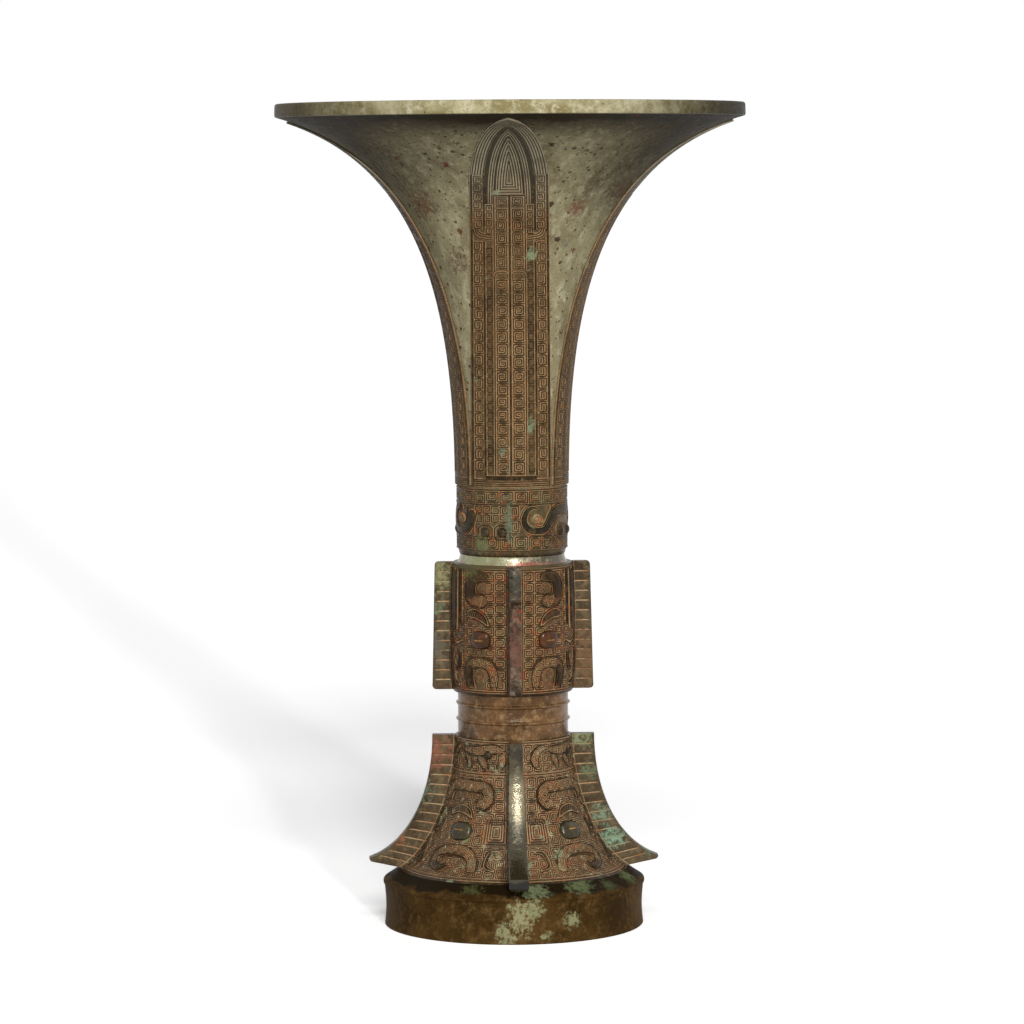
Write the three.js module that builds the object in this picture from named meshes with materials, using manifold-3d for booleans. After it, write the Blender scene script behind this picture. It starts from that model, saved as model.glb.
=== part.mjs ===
// Bronze gu: a tall drinking vessel with a trumpet mouth, a masked drum and a flared, hollow foot.
// Millimetres, +Z up, standing on Z = 0 with its axis on Z. Azimuth 0 faces -Y and grows towards +X.
import * as THREE from 'three';
import Module from 'manifold-3d';
import { mergeVertices } from 'three/addons/utils/BufferGeometryUtils.js';

const wasm = await Module();
wasm.setup();

// Heights of the registers, from the foot up
const footRingHeight = 21.0;
const bellHeight = 50.0;
const collarHeight = 13.1;
const floorThickness = 3.2;
const drumHeight = 48.3;
const grooveHeight = 3.0;
const friezeHeight = 25.3;
const trumpetHeight = 136.1;
const lipHeight = 5.0;

// Foot ring and its shoulder
const footRingRadius = 48.3;
const footRingWaistDepth = 0.5;
const footRingWall = 3.0;
const beadHeight = 16.1;
const beadProud = 0.5;
const beadHalfWidth = 0.7;

// Foot bell
const bellFootRadius = 42.4;
const bellTopRadius = 21.5;
const bellWall = 2.5;
const bellDropHandle = 18.4;
const bellFlareHandle = 15.4;
const bellFlareSlope = 31.6;

// Collar with two bowstring ridges
const collarRadius = 20.5;
const collarWall = 2.6;
const ridgeProud = 0.75;
const ridgeHeight = 1.7;
const ridgeSpacing = 6.0;
const lowerRidgeHeight = 6.1;

// Drum
const drumRadius = 22.4;
const drumBelly = 0.6;
const drumEdgeRound = 1.0;
const drumWall = 2.6;

// Groove under the frieze, and the frieze band
const neckRadius = 20.3;
const neckWall = 2.4;
const grooveDepth = 0.95;
const friezeChamferHeight = 2.4;
const friezeChamferDepth = 0.7;

// Bosses cast on the frieze
const bossRadius = 1.9;
const bossHeight = 1.3;
const bossLevel = 9.2;
const bossAzimuths = [-30.7, -12.4];

// Trumpet
const mouthRadius = 86.8;
const lipOverhang = 0.7;
const lipRound = 0.7;
const lipFlat = 1.5;
const neckHandle = 60.3;
const flareHandle = 59.3;
const flareSlope = 15.7;
const boreHandle = 64.0;
const boreFlareHandle = 60.0;
const boreFlareSlope = 20.0;

// Plantain blades on the trumpet
const bladeHalfWidth = 14.0;
const bladeRelief = 0.6;
const bladeTipDrop = 1.2;
const bladeShoulderDrop = 30.0;
const bladeArchFullness = 0.8;
const bladeFootGap = 0.6;
const bladeTurn = -2.5;

// Drum flanges
const drumFlangeReach = 30.0;
const drumFlangeThickness = 4.6;
const drumFlangeInset = 0.8;
const drumFlangeCorner = 1.3;
const drumFlangeScores = 12;

// Foot flanges
const footFlangeTopReach = 30.2;
const footFlangeTipReach = 54.0;
const footFlangeTipLevel = 3.9;
const footFlangeTipHeight = 1.1;
const footFlangeUnderside = 0.4;
const footFlangeTopThickness = 4.6;
const footFlangeTipThickness = 7.4;
const footFlangeDropHandle = 23.0;
const footFlangeFlareHandle = 15.0;
const footFlangeFlareSlope = 19.0;
const footFlangeScores = 14;
const footFlangeScoreTilt = 0.3;
const rootPasses = 4;

// Scores and edges shared by the flanges
const flangeEdgeRound = 0.6;
const scoreHalfWidth = 0.45;
const scoreDepth = 0.45;

// Mask relief
const reliefHeight = 0.9;
const reliefDraft = 0.35;
const eyeHeight = 2.1;
const eyeSquareness = 3.4;
const slitHeight = 0.5;
const slitDepth = 0.5;
const slitShare = 0.42;

// Seat between a cast-on piece and the wall that carries it
const seatGap = 0.3;

// Roundness of the revolved walls and steps along their curves
const wideSegments = 40;
const narrowSegments = 28;
const flareSteps = 9;
const bellSteps = 7;
const drumSteps = 4;
const archSteps = 5;
const cavitySteps = 5;
const bossFacets = [8, 4];
const eyeFacets = [12, 4];

// Distances for working out a wall's slope, and for welding equal corners
const slopeSpan = 1.0;
const weldDistance = 1e-4;

// Levels where one register ends and the next begins
const bellBase = footRingHeight;
const collarBase = bellBase + bellHeight;
const floorBase = collarBase + collarHeight;
const drumBase = floorBase + floorThickness;
const grooveBase = drumBase + drumHeight;
const friezeBase = grooveBase + grooveHeight;
const trumpetBase = friezeBase + friezeHeight;
const lipBase = trumpetBase + trumpetHeight;
const mouthLevel = lipBase + lipHeight;

const QUARTER = Math.PI / 2;
const quarters = ['right', 'back', 'left', 'front'];
const radians = THREE.MathUtils.degToRad;
const point = (radius, height) => new THREE.Vector2(radius, height);

// Finishes: old bronze, warmer and darker by register
const finish = (color, roughness) => new THREE.MeshStandardMaterial({ color, roughness, metalness: 0.7 });
const finishes = {
  lip: finish(0x6f7052, 0.55),
  trumpet: finish(0x5c5a43, 0.5),
  blade: finish(0x5d4a33, 0.5),
  band: finish(0x4f4431, 0.5),
  groove: finish(0x6d7358, 0.4),
  drum: finish(0x5a4330, 0.5),
  eye: finish(0x4a2413, 0.3),
  flange: finish(0x5b4a37, 0.5),
  collar: finish(0x4a3222, 0.35),
  bell: finish(0x6b5138, 0.55),
  footRing: finish(0x4b3a20, 0.45),
};

// Curve from a level end to a sloping end, as the flare, the bell and the flange edges all run
function flareCurve(neckEnd, neckPull, rimEnd, rimPull, slope) {
  const run = point(Math.cos(radians(slope)), Math.sin(radians(slope)) * Math.sign(rimEnd.y - neckEnd.y));
  const neckControl = point(neckEnd.x, neckEnd.y + neckPull * Math.sign(rimEnd.y - neckEnd.y));
  const rimControl = point(rimEnd.x - rimPull * run.x, rimEnd.y - rimPull * run.y);
  return new THREE.CubicBezierCurve(neckEnd, neckControl, rimControl, rimEnd);
}

// Radius of an upward running outline at a level, carried on straight past its ends
function radiusAt(outline, level) {
  let upper = outline.findIndex((p) => p.y >= level);
  if (upper < 0) upper = outline.length - 1;
  upper = Math.max(upper, 1);
  const a = outline[upper - 1];
  const b = outline[upper];
  return a.x + ((b.x - a.x) * (level - a.y)) / (b.y - a.y);
}

// Growth of the radius with height at a level
function slopeAt(outline, level) {
  const rise = radiusAt(outline, level + slopeSpan / 2) - radiusAt(outline, level - slopeSpan / 2);
  return rise / slopeSpan;
}

// Outline moved square to itself, outwards when distance is positive
function offsetOutline(outline, distance) {
  return outline.map((p, i) => {
    const before = outline[Math.max(i - 1, 0)];
    const after = outline[Math.min(i + 1, outline.length - 1)];
    const run = point(after.x - before.x, after.y - before.y).normalize();
    return point(p.x + run.y * distance, p.y - run.x * distance);
  });
}

// The same outline cut level at both ends
function trimOutline(outline, low, high) {
  const inside = outline.filter((p) => p.y > low && p.y < high);
  return [point(radiusAt(outline, low), low), ...inside, point(radiusAt(outline, high), high)];
}

// Geometry turned by a half circle of profile points, with Z as its axis
function revolve(profile, segments) {
  const geometry = new THREE.LatheGeometry([...profile, profile[0]], segments);
  geometry.rotateX(QUARTER);
  return geometry;
}

// Wall ring between an outer outline and a bore outline, both running upwards
const ring = (outer, bore, segments) => revolve([...outer, ...[...bore].reverse()], segments);

// Closed solid of a geometry, for joins and cuts
function solid(geometry) {
  const bare = geometry.clone();
  bare.deleteAttribute('normal');
  bare.deleteAttribute('uv');
  const merged = mergeVertices(bare, weldDistance);
  const corners = merged.index.array;
  const kept = [];
  for (let i = 0; i < corners.length; i += 3) {
    const [a, b, c] = [corners[i], corners[i + 1], corners[i + 2]];
    if (a !== b && b !== c && c !== a) kept.push(a, b, c);
  }
  const vertProperties = new Float32Array(merged.attributes.position.array);
  return new wasm.Manifold(new wasm.Mesh({ numProp: 3, vertProperties, triVerts: new Uint32Array(kept) }));
}

function geometryOf(body) {
  const mesh = body.getMesh();
  const geometry = new THREE.BufferGeometry();
  geometry.setAttribute('position', new THREE.BufferAttribute(mesh.vertProperties, 3));
  geometry.setIndex(new THREE.BufferAttribute(mesh.triVerts, 1));
  geometry.computeVertexNormals();
  return geometry;
}

// Outer outlines of the decorated registers
const bellCurve = flareCurve(
  point(bellTopRadius, collarBase), bellDropHandle,
  point(bellFootRadius, bellBase), bellFlareHandle, bellFlareSlope,
);
const bellOutline = bellCurve.getPoints(bellSteps).reverse();
const drumCurve = new THREE.QuadraticBezierCurve(
  point(drumRadius, drumBase + drumEdgeRound),
  point(drumRadius + 2 * drumBelly, drumBase + drumHeight / 2),
  point(drumRadius, grooveBase - drumEdgeRound),
);
const drumOutline = [
  point(drumRadius - drumEdgeRound, drumBase),
  ...drumCurve.getPoints(drumSteps),
  point(drumRadius - drumEdgeRound / 2, grooveBase),
];
const friezeOutline = [
  point(neckRadius - friezeChamferDepth, friezeBase),
  point(neckRadius, friezeBase + friezeChamferHeight),
  point(neckRadius, trumpetBase),
];
const trumpetCurve = flareCurve(
  point(neckRadius, trumpetBase), neckHandle,
  point(mouthRadius - lipOverhang, lipBase), flareHandle, flareSlope,
);
const trumpetOutline = trumpetCurve.getPoints(flareSteps);

// Bore of the trumpet, up to the inner edge of the lip
const boreRadius = neckRadius - neckWall;
const boreCurve = flareCurve(
  point(boreRadius, trumpetBase), boreHandle,
  point(mouthRadius - lipRound - lipFlat, mouthLevel), boreFlareHandle, boreFlareSlope,
);
const boreOutline = boreCurve.getPoints(flareSteps);
const boreInTrumpet = trimOutline(boreOutline, trumpetBase, lipBase);
const boreInLip = trimOutline(boreOutline, lipBase, mouthLevel);

// Foot cavity: the bell's inner face
const boreSide = bellCurve.getPoints(cavitySteps).reverse();
const bellBore = trimOutline(offsetOutline(boreSide, -bellWall), bellBase, collarBase);

const footRingGeometry = ring(
  [
    point(footRingRadius, 0),
    point(footRingRadius - footRingWaistDepth, beadHeight / 2),
    point(footRingRadius, beadHeight - 2 * beadHalfWidth),
    point(footRingRadius + beadProud, beadHeight - beadHalfWidth),
    point(footRingRadius + beadProud, beadHeight + beadHalfWidth / 2),
    point(footRingRadius, beadHeight + beadHalfWidth),
    point(bellFootRadius, bellBase),
  ],
  [
    point(footRingRadius - footRingWall, 0),
    point(footRingRadius - footRingWall, beadHeight - footRingWall),
    point(bellBore[0].x, bellBase),
  ],
  wideSegments,
);

const bellGeometry = ring(bellOutline, bellBore, wideSegments);

function collarOutline() {
  const points = [point(collarRadius, collarBase)];
  for (const middle of [lowerRidgeHeight, lowerRidgeHeight + ridgeSpacing]) {
    const level = collarBase + middle;
    points.push(point(collarRadius, level - ridgeHeight / 2));
    points.push(point(collarRadius + ridgeProud, level));
    points.push(point(collarRadius, level + ridgeHeight / 2));
  }
  return trimOutline(points, collarBase, floorBase);
}

const collarBore = [
  point(collarRadius - collarWall, collarBase),
  point(collarRadius - collarWall, floorBase),
];
const collarGeometry = ring(collarOutline(), collarBore, narrowSegments);

const floorGeometry = new THREE.CylinderGeometry(collarRadius, collarRadius, floorThickness, narrowSegments);
floorGeometry.rotateX(QUARTER);
floorGeometry.translate(0, 0, floorBase + floorThickness / 2);

const drumBore = [
  point(drumRadius - drumWall, drumBase),
  point(drumRadius - drumWall, grooveBase - drumWall),
  point(boreRadius, grooveBase),
];
const drumGeometry = ring(drumOutline, drumBore, narrowSegments);

const grooveRadius = neckRadius - grooveDepth;
const grooveGeometry = ring(
  [point(grooveRadius, grooveBase), point(grooveRadius, friezeBase)],
  [point(boreRadius, grooveBase), point(boreRadius, friezeBase)],
  narrowSegments,
);

const trumpetGeometry = ring(trumpetOutline, boreInTrumpet, wideSegments);
const lipGeometry = ring(
  [
    point(mouthRadius - lipOverhang, lipBase),
    point(mouthRadius, lipBase + lipOverhang),
    point(mouthRadius, mouthLevel - lipRound),
    point(mouthRadius - lipRound, mouthLevel),
  ],
  boreInLip,
  wideSegments,
);

// A wall's outline grown by a distance and closed on the axis, to cut what seats on the wall
function envelope(outline, distance, segments) {
  const grown = offsetOutline(outline, distance);
  const foot = grown[0];
  const top = grown[grown.length - 1];
  return solid(revolve([point(0, foot.y), ...grown, point(0, top.y)], segments));
}

// Frieze band with its bosses, two to each quarter
function friezeBody() {
  const bore = [point(boreRadius, friezeBase), point(boreRadius, trumpetBase)];
  let body = solid(ring(friezeOutline, bore, narrowSegments));
  for (let quarter = 0; quarter < quarters.length; quarter += 1) {
    for (const azimuth of bossAzimuths) {
      const boss = new THREE.SphereGeometry(bossRadius, ...bossFacets);
      boss.scale(1, bossHeight / bossRadius, 1);
      boss.translate(0, -neckRadius, friezeBase + bossLevel);
      boss.rotateZ(radians(azimuth) + quarter * QUARTER);
      body = body.add(solid(boss));
    }
  }
  return geometryOf(body);
}

// Scored fin: sections from its top down, each from the wall out to the edge; a score pinches the sides
function finBody(sections) {
  const places = [];
  const faces = [];
  sections.forEach(({ root, edge, thickness, pinch }, i) => {
    const side = edge.clone().lerp(root, flangeEdgeRound / edge.distanceTo(root));
    const half = thickness / 2;
    const nose = half - flangeEdgeRound - pinch;
    const near = [[root, half], [side, half - pinch], [edge, nose]];
    const far = near.map(([place, y]) => [place, -y]).reverse();
    for (const [place, y] of [...near, ...far]) places.push(new THREE.Vector3(place.x, y, place.y));
    for (let k = 0; k < 6 && i > 0; k += 1) {
      const a = 6 * (i - 1) + k;
      const b = 6 * (i - 1) + ((k + 1) % 6);
      faces.push(a, b, a + 6, b, b + 6, a + 6);
    }
  });
  const last = places.length - 6;
  for (let k = 1; k < 5; k += 1) faces.push(0, k + 1, k, last, last + k, last + k + 1);
  const geometry = new THREE.BufferGeometry().setFromPoints(places);
  geometry.setIndex(faces);
  geometry.computeVertexNormals();
  return geometry;
}

// Shares of a fin's length where its sections lie, with the pinch at each: three to a score
function scoreSections(scores, length) {
  const width = scoreHalfWidth / length;
  const sections = [];
  for (let i = 1; i <= scores; i += 1) {
    const middle = i / (scores + 1);
    sections.push([middle - width, 0], [middle, scoreDepth], [middle + width, 0]);
  }
  return sections;
}

// Drum flange: a straight scored fin as tall as the drum, with rounded corners
function drumFlangeBody() {
  const low = drumBase + drumFlangeInset;
  const section = (level, inset, pinch) => ({
    root: point(radiusAt(drumOutline, level) + seatGap, level),
    edge: point(drumFlangeReach - inset, level),
    thickness: drumFlangeThickness,
    pinch,
  });
  const corner = [0, 1, 2].map((k) => {
    const turn = (k * QUARTER) / 2;
    return [drumFlangeCorner * (1 - Math.sin(turn)), drumFlangeCorner * (1 - Math.cos(turn))];
  });
  const length = grooveBase - low;
  return finBody([
    ...corner.map(([inset, drop]) => section(grooveBase - drop, inset, 0)),
    ...scoreSections(drumFlangeScores, length).map(([share, pinch]) => (
      section(grooveBase - share * length, 0, pinch))),
    ...corner.reverse().map(([inset, drop]) => section(low + drop, inset, 0)),
  ]);
}

// Foot flange: a scored fin that follows the bell and sweeps out to a pointed tip
function footFlangeBody() {
  const tip = point(footFlangeTipReach, bellBase + footFlangeTipLevel);
  const top = point(footFlangeTopReach, collarBase);
  const curve = flareCurve(top, footFlangeDropHandle, tip, footFlangeFlareHandle, footFlangeFlareSlope);
  const thicknessAt = (level) => THREE.MathUtils.mapLinear(
    level, tip.y, collarBase, footFlangeTipThickness, footFlangeTopThickness,
  );
  const section = (share, pinch) => {
    const edge = curve.getPointAt(share);
    const fall = footFlangeScoreTilt * curve.getTangentAt(share).x;
    const root = point(edge.x, edge.y);
    for (let pass = 0; pass < rootPasses; pass += 1) {
      root.x = radiusAt(bellOutline, root.y) + seatGap;
      root.y = edge.y - fall * (edge.x - root.x);
    }
    return { root, edge, thickness: thicknessAt(edge.y), pinch };
  };
  const underside = {
    root: point(bellFootRadius + seatGap, bellBase + footFlangeUnderside),
    edge: point(tip.x - footFlangeTipHeight / 2, tip.y - footFlangeTipHeight),
    thickness: footFlangeTipThickness,
    pinch: 0,
  };
  return finBody([
    section(0, 0),
    ...scoreSections(footFlangeScores, curve.getLength()).map(([share, pinch]) => section(share, pinch)),
    section(1, 0),
    underside,
  ]);
}

// Plantain blade: a skin on the flare, cut to a tall leaf with a pointed arch
function bladeBody() {
  const tip = lipBase - bladeTipDrop;
  const shoulder = lipBase - bladeShoulderDrop;
  const low = trumpetBase + bladeFootGap;
  const rise = (tip - shoulder) * bladeArchFullness;
  const leaf = new THREE.Shape();
  leaf.moveTo(-bladeHalfWidth, low);
  leaf.lineTo(bladeHalfWidth, low);
  leaf.lineTo(bladeHalfWidth, shoulder);
  const spring = shoulder + rise / 2;
  const full = bladeHalfWidth * bladeArchFullness;
  leaf.bezierCurveTo(bladeHalfWidth, spring, full, shoulder + rise, 0, tip);
  leaf.bezierCurveTo(-full, shoulder + rise, -bladeHalfWidth, spring, -bladeHalfWidth, shoulder);
  const sides = { depth: mouthRadius, bevelEnabled: false, curveSegments: archSteps };
  const prism = new THREE.ExtrudeGeometry(leaf, sides);
  prism.rotateX(QUARTER);
  const inner = offsetOutline(trumpetOutline, seatGap);
  const outer = offsetOutline(trumpetOutline, seatGap + bladeRelief);
  return geometryOf(solid(ring(outer, inner, wideSegments)).intersect(solid(prism)));
}

// Place on a register: azimuth in radians, share of the register's height, height above the wall
function onRegister(register, azimuth, share, lift) {
  const level = THREE.MathUtils.lerp(register.low, register.high, share);
  const slope = slopeAt(register.outline, level);
  const square = Math.hypot(1, slope);
  const reach = radiusAt(register.outline, level) + lift / square;
  return new THREE.Vector3(
    reach * Math.sin(azimuth), -reach * Math.cos(azimuth), level - (lift * slope) / square,
  );
}

const drumRegister = {
  outline: drumOutline, low: drumBase, high: grooveBase, radius: drumRadius, segments: narrowSegments,
};
const bellRegister = {
  outline: bellOutline, low: bellBase, high: collarBase, radius: bellTopRadius, segments: wideSegments,
};

// Relief stroke: a band with sloping sides and a width at each point, swept over its register.
// Its points are azimuths in degrees from the mask's middle and shares of the register's height.
function strokeBody(register, stroke, middle, side) {
  const height = register.high - register.low;
  const flat = stroke.points.map(([azimuth, share]) => (
    new THREE.Vector3(radians(azimuth) * register.radius, share * height, 0)));
  const line = new THREE.CatmullRomCurve3(flat, false, 'centripetal');
  const widths = new THREE.CatmullRomCurve3(stroke.widths.map((width, i) => new THREE.Vector3(i, width, 0)));
  const places = [];
  const faces = [];
  for (let i = 0; i <= stroke.steps; i += 1) {
    const centre = line.getPoint(i / stroke.steps);
    const run = line.getTangent(i / stroke.steps);
    const half = widths.getPoint(i / stroke.steps).y / 2;
    const crest = half - reliefDraft;
    const section = [[half, 0], [crest, reliefHeight], [-crest, reliefHeight], [-half, 0]];
    for (const [across, lift] of section) {
      const azimuth = middle + (side * (centre.x + run.y * across)) / register.radius;
      const share = (centre.y - run.x * across) / height;
      places.push(onRegister(register, azimuth, share, seatGap + lift));
    }
    const base = 4 * i;
    for (let k = 0; k < 4 && i < stroke.steps; k += 1) {
      const [a, b] = [base + k, base + ((k + 1) % 4)];
      faces.push(a, a + 4, b, b, a + 4, b + 4);
    }
  }
  const last = 4 * stroke.steps;
  faces.push(0, 1, 2, 0, 2, 3, last, last + 2, last + 1, last, last + 3, last + 2);
  if (side < 0) faces.reverse();
  const geometry = new THREE.BufferGeometry().setFromPoints(places);
  geometry.setIndex(faces);
  geometry.computeVertexNormals();
  return geometry;
}

// Eye boss: a domed, rounded square with a level slit, seated on its register
function eyeBody(register, eye, middle, side) {
  const dome = new THREE.SphereGeometry(1, ...eyeFacets);
  const corners = dome.attributes.position;
  for (let i = 0; i < corners.count; i += 1) {
    const [x, y, z] = [corners.getX(i), corners.getY(i), corners.getZ(i)];
    const round = Math.hypot(x, z);
    const square = (Math.abs(x) ** eyeSquareness + Math.abs(z) ** eyeSquareness) ** (1 / eyeSquareness);
    const widen = square > 0 ? round / square : 1;
    corners.setXYZ(i, x * widen * eye.width / 2, y * eyeHeight, z * widen * eye.height / 2);
  }
  const level = THREE.MathUtils.lerp(register.low, register.high, eye.share);
  const radius = radiusAt(register.outline, level);
  const lean = -Math.atan(slopeAt(register.outline, level));
  const slit = new THREE.BoxGeometry(eye.width * slitShare, 2 * slitDepth, slitHeight);
  slit.translate(0, -eyeHeight, 0);
  const azimuth = middle + side * radians(eye.azimuth);
  const placed = [dome, slit].map((geometry) => {
    geometry.rotateX(lean);
    geometry.translate(0, -radius, level);
    geometry.rotateZ(azimuth);
    return solid(geometry);
  });
  const wall = envelope(register.outline, seatGap, register.segments);
  return geometryOf(placed[0].subtract(placed[1]).subtract(wall));
}

// Half of the drum's mask: azimuths in degrees from its nose, shares of the drum's height, widths in mm
const drumMask = {
  horn: {
    points: [[23, 0.895], [33, 0.923], [42, 0.892], [44, 0.81], [41.5, 0.738], [33, 0.718], [24, 0.74]],
    widths: [2.4, 3.3, 3.6, 3.7, 3.7, 3.6, 3.0],
    steps: 10,
  },
  brow: { points: [[24, 0.55], [29, 0.6], [37, 0.622], [47, 0.612]], widths: [1.4, 2.5, 2.6, 2.2], steps: 5 },
  eye: { azimuth: 32.6, share: 0.433, width: 8.3, height: 6.8 },
  jaw: {
    points: [[20, 0.07], [20, 0.17], [25, 0.245], [36, 0.255], [43.5, 0.235], [45.2, 0.165], [42, 0.075]],
    widths: [2.2, 3.0, 3.2, 3.2, 3.2, 3.2, 2.4],
    steps: 10,
  },
};

// Half of the foot's mask, drawn the same way on the bell
const footMask = {
  horn: {
    points: [
      [33, 0.54], [27.5, 0.53], [23.8, 0.565], [24, 0.615], [28, 0.65],
      [38, 0.656], [61, 0.656], [69, 0.605], [69, 0.54],
    ],
    widths: [1.8, 2.0, 2.4, 2.7, 3.0, 3.2, 3.2, 3.0, 2.6],
    steps: 13,
  },
  brow: { points: [[36, 0.43], [41, 0.475], [50, 0.49], [59, 0.45]], widths: [1.2, 2.4, 2.6, 1.8], steps: 5 },
  eye: { azimuth: 43.7, share: 0.334, width: 9.8, height: 7.2 },
  jaw: {
    points: [[26, 0.06], [28, 0.14], [34, 0.19], [46, 0.2], [55.5, 0.165], [55, 0.1], [48, 0.07], [44, 0.1]],
    widths: [2.2, 2.4, 2.4, 2.2, 2.2, 1.8, 1.6, 1.2],
    steps: 12,
  },
};

// Assembly: every register and every cast-on piece is its own mesh
const vessel = new THREE.Group();

function addPiece(name, geometry, material) {
  const mesh = new THREE.Mesh(geometry, material);
  mesh.name = name;
  vessel.add(mesh);
  return mesh;
}

addPiece('foot_ring', footRingGeometry, finishes.footRing);
addPiece('foot_bell', bellGeometry, finishes.bell);
addPiece('waist_collar', collarGeometry, finishes.collar);
addPiece('vessel_floor', floorGeometry, finishes.collar);
addPiece('mask_drum', drumGeometry, finishes.drum);
addPiece('neck_groove', grooveGeometry, finishes.groove);
addPiece('frieze_band', friezeBody(), finishes.band);
addPiece('trumpet_neck', trumpetGeometry, finishes.trumpet);
addPiece('mouth_lip', lipGeometry, finishes.lip);

const drumFlangeGeometry = drumFlangeBody();
const footFlangeGeometry = footFlangeBody();
const bladeGeometry = bladeBody();
quarters.forEach((quarter, i) => {
  addPiece(`drum_flange_${quarter}`, drumFlangeGeometry, finishes.flange).rotation.z = i * QUARTER;
  addPiece(`foot_flange_${quarter}`, footFlangeGeometry, finishes.flange).rotation.z = i * QUARTER;
  const blade = addPiece(`plantain_blade_${quarter}`, bladeGeometry, finishes.blade);
  blade.rotation.z = (i + 1) * QUARTER + radians(bladeTurn);
});

for (const [where, register, mask, material] of [
  ['drum', drumRegister, drumMask, finishes.drum],
  ['foot', bellRegister, footMask, finishes.bell],
]) {
  for (const [face, middle] of [['front', 0], ['back', Math.PI]]) {
    for (const [hand, side] of [['left', -1], ['right', 1]]) {
      const place = `${face}_${hand}`;
      addPiece(`${where}_eye_${place}`, eyeBody(register, mask.eye, middle, side), finishes.eye);
      for (const piece of ['horn', 'brow', 'jaw']) {
        addPiece(`${where}_${piece}_${place}`, strokeBody(register, mask[piece], middle, side), material);
      }
    }
  }
}

export default vessel;
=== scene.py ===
import itertools
import math
import random

import bmesh
import bpy
import numpy as np
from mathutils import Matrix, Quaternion, Vector


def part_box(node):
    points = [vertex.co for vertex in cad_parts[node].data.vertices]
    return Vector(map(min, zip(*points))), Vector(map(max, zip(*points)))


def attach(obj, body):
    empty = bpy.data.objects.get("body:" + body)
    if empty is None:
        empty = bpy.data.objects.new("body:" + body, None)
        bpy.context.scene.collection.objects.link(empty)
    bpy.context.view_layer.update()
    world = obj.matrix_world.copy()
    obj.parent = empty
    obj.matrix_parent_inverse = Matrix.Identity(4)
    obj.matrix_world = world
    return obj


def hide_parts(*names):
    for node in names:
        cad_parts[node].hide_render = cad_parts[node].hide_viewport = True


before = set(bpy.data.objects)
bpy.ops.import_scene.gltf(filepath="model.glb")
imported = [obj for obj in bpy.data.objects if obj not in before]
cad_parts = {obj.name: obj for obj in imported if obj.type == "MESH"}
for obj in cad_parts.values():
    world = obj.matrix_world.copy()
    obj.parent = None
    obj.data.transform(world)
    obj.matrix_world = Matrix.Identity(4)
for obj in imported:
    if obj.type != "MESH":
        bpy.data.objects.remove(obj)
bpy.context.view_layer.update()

# The script works in millimetres and writes its meshes in metres.
MM = 0.001
QUARTER = math.pi / 2
QUARTERS = ("front", "right", "back", "left")
HALF_MASKS = tuple(itertools.product((0, 180), (-1, 1)))
TURNED_STEPS = 256
WELD = 1e-7
CREASE = 40
carver = random.Random(11)


def span(node):
    """Lowest and highest level of a CAD node, mm."""
    low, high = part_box(node)
    return low.z / MM, high.z / MM


def reach(node):
    """Greatest radius of a turned CAD node, mm."""
    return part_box(node)[1].x / MM


# Levels and radii that the CAD pieces give
BELL_LOW = span("foot_ring")[1]
BELL_HIGH = span("foot_bell")[1]
FLOOR_LOW, DRUM_LOW = span("vessel_floor")
GROOVE_LOW, FRIEZE_LOW = span("neck_groove")
TRUMPET_LOW, LIP_LOW = span("trumpet_neck")
MOUTH_LEVEL = span("mouth_lip")[1]
COLLAR_RADIUS = reach("vessel_floor")
GROOVE_RADIUS = reach("neck_groove")
MOUTH_RADIUS = reach("mouth_lip")
DRUM_FLANGE_REACH = reach("drum_flange_right")
FOOT_TIP_REACH = reach("foot_flange_right")

# Foot ring and bell
RING_RADIUS = 48.3
RING_WAIST = 0.5
RING_WALL = 3.0
RING_EDGE = 0.4
BEAD_LEVEL = 16.1
BEAD_PROUD = 0.5
BELL_TOP_RADIUS = 21.5
BELL_FOOT_RADIUS = 42.4
BELL_WALL = 2.5
BELL_PULLS = (18.4, 15.4)
BELL_SLOPE = 31.6

# Collar and its bowstring ridges
COLLAR_WALL = 2.6
RIDGE_PROUD = 0.75
RIDGE_HEIGHT = 1.7
RIDGE_LEVELS = (77.1, 83.1)

# Drum, groove and frieze
DRUM_RADIUS = 22.4
DRUM_BELLY = 0.6
DRUM_EDGE = 1.0
DRUM_WALL = 2.6
NECK_RADIUS = 20.3
NECK_WALL = 2.4
GROOVE_FLARE = 0.95
FRIEZE_CHAMFER = (2.4, 0.7)
BOSS_AZIMUTHS = (-30.7, -12.4)
BOSS_LEVEL = 147.8
BOSS_HEIGHT = 1.3

# Trumpet, lip and bore
LIP_OVERHANG = 0.7
LIP_ROUND = 0.7
LIP_FLAT = 1.5
NECK_PULLS = (60.3, 59.3)
TRUMPET_SLOPE = 15.7
BORE_PULLS = (64.0, 60.0)
BORE_SLOPE = 20.0

# Plantain blades
BLADE_HALF = 14.0
BLADE_RELIEF = 0.9
BLADE_LOW = TRUMPET_LOW + 0.6
BLADE_SHOULDER = LIP_LOW - 30.0
BLADE_TIP = LIP_LOW - 1.2
BLADE_TURN = -2.5

# Flanges
FLANGE_THICKNESS = 4.6
FLANGE_SEAT = 0.3
DRUM_FLANGE_SCORES = 12
DRUM_FLANGE_FOOT = 0.8
DRUM_FLANGE_LEAN = 1.1
DRUM_FLANGE_CORNER = 1.3
FOOT_TOP_REACH = 30.2
FOOT_TIP_LEVEL = BELL_LOW + 3.9
FOOT_TIP_HEIGHT = 1.1
FOOT_UNDERSIDE = 0.4
FOOT_TIP_THICKNESS = 7.4
FOOT_FLANGE_PULLS = (23.0, 15.0)
FOOT_FLANGE_SLOPE = 19.0
FOOT_FLANGE_SCORES = 14
FOOT_SCORE_TILT = 0.3

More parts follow.
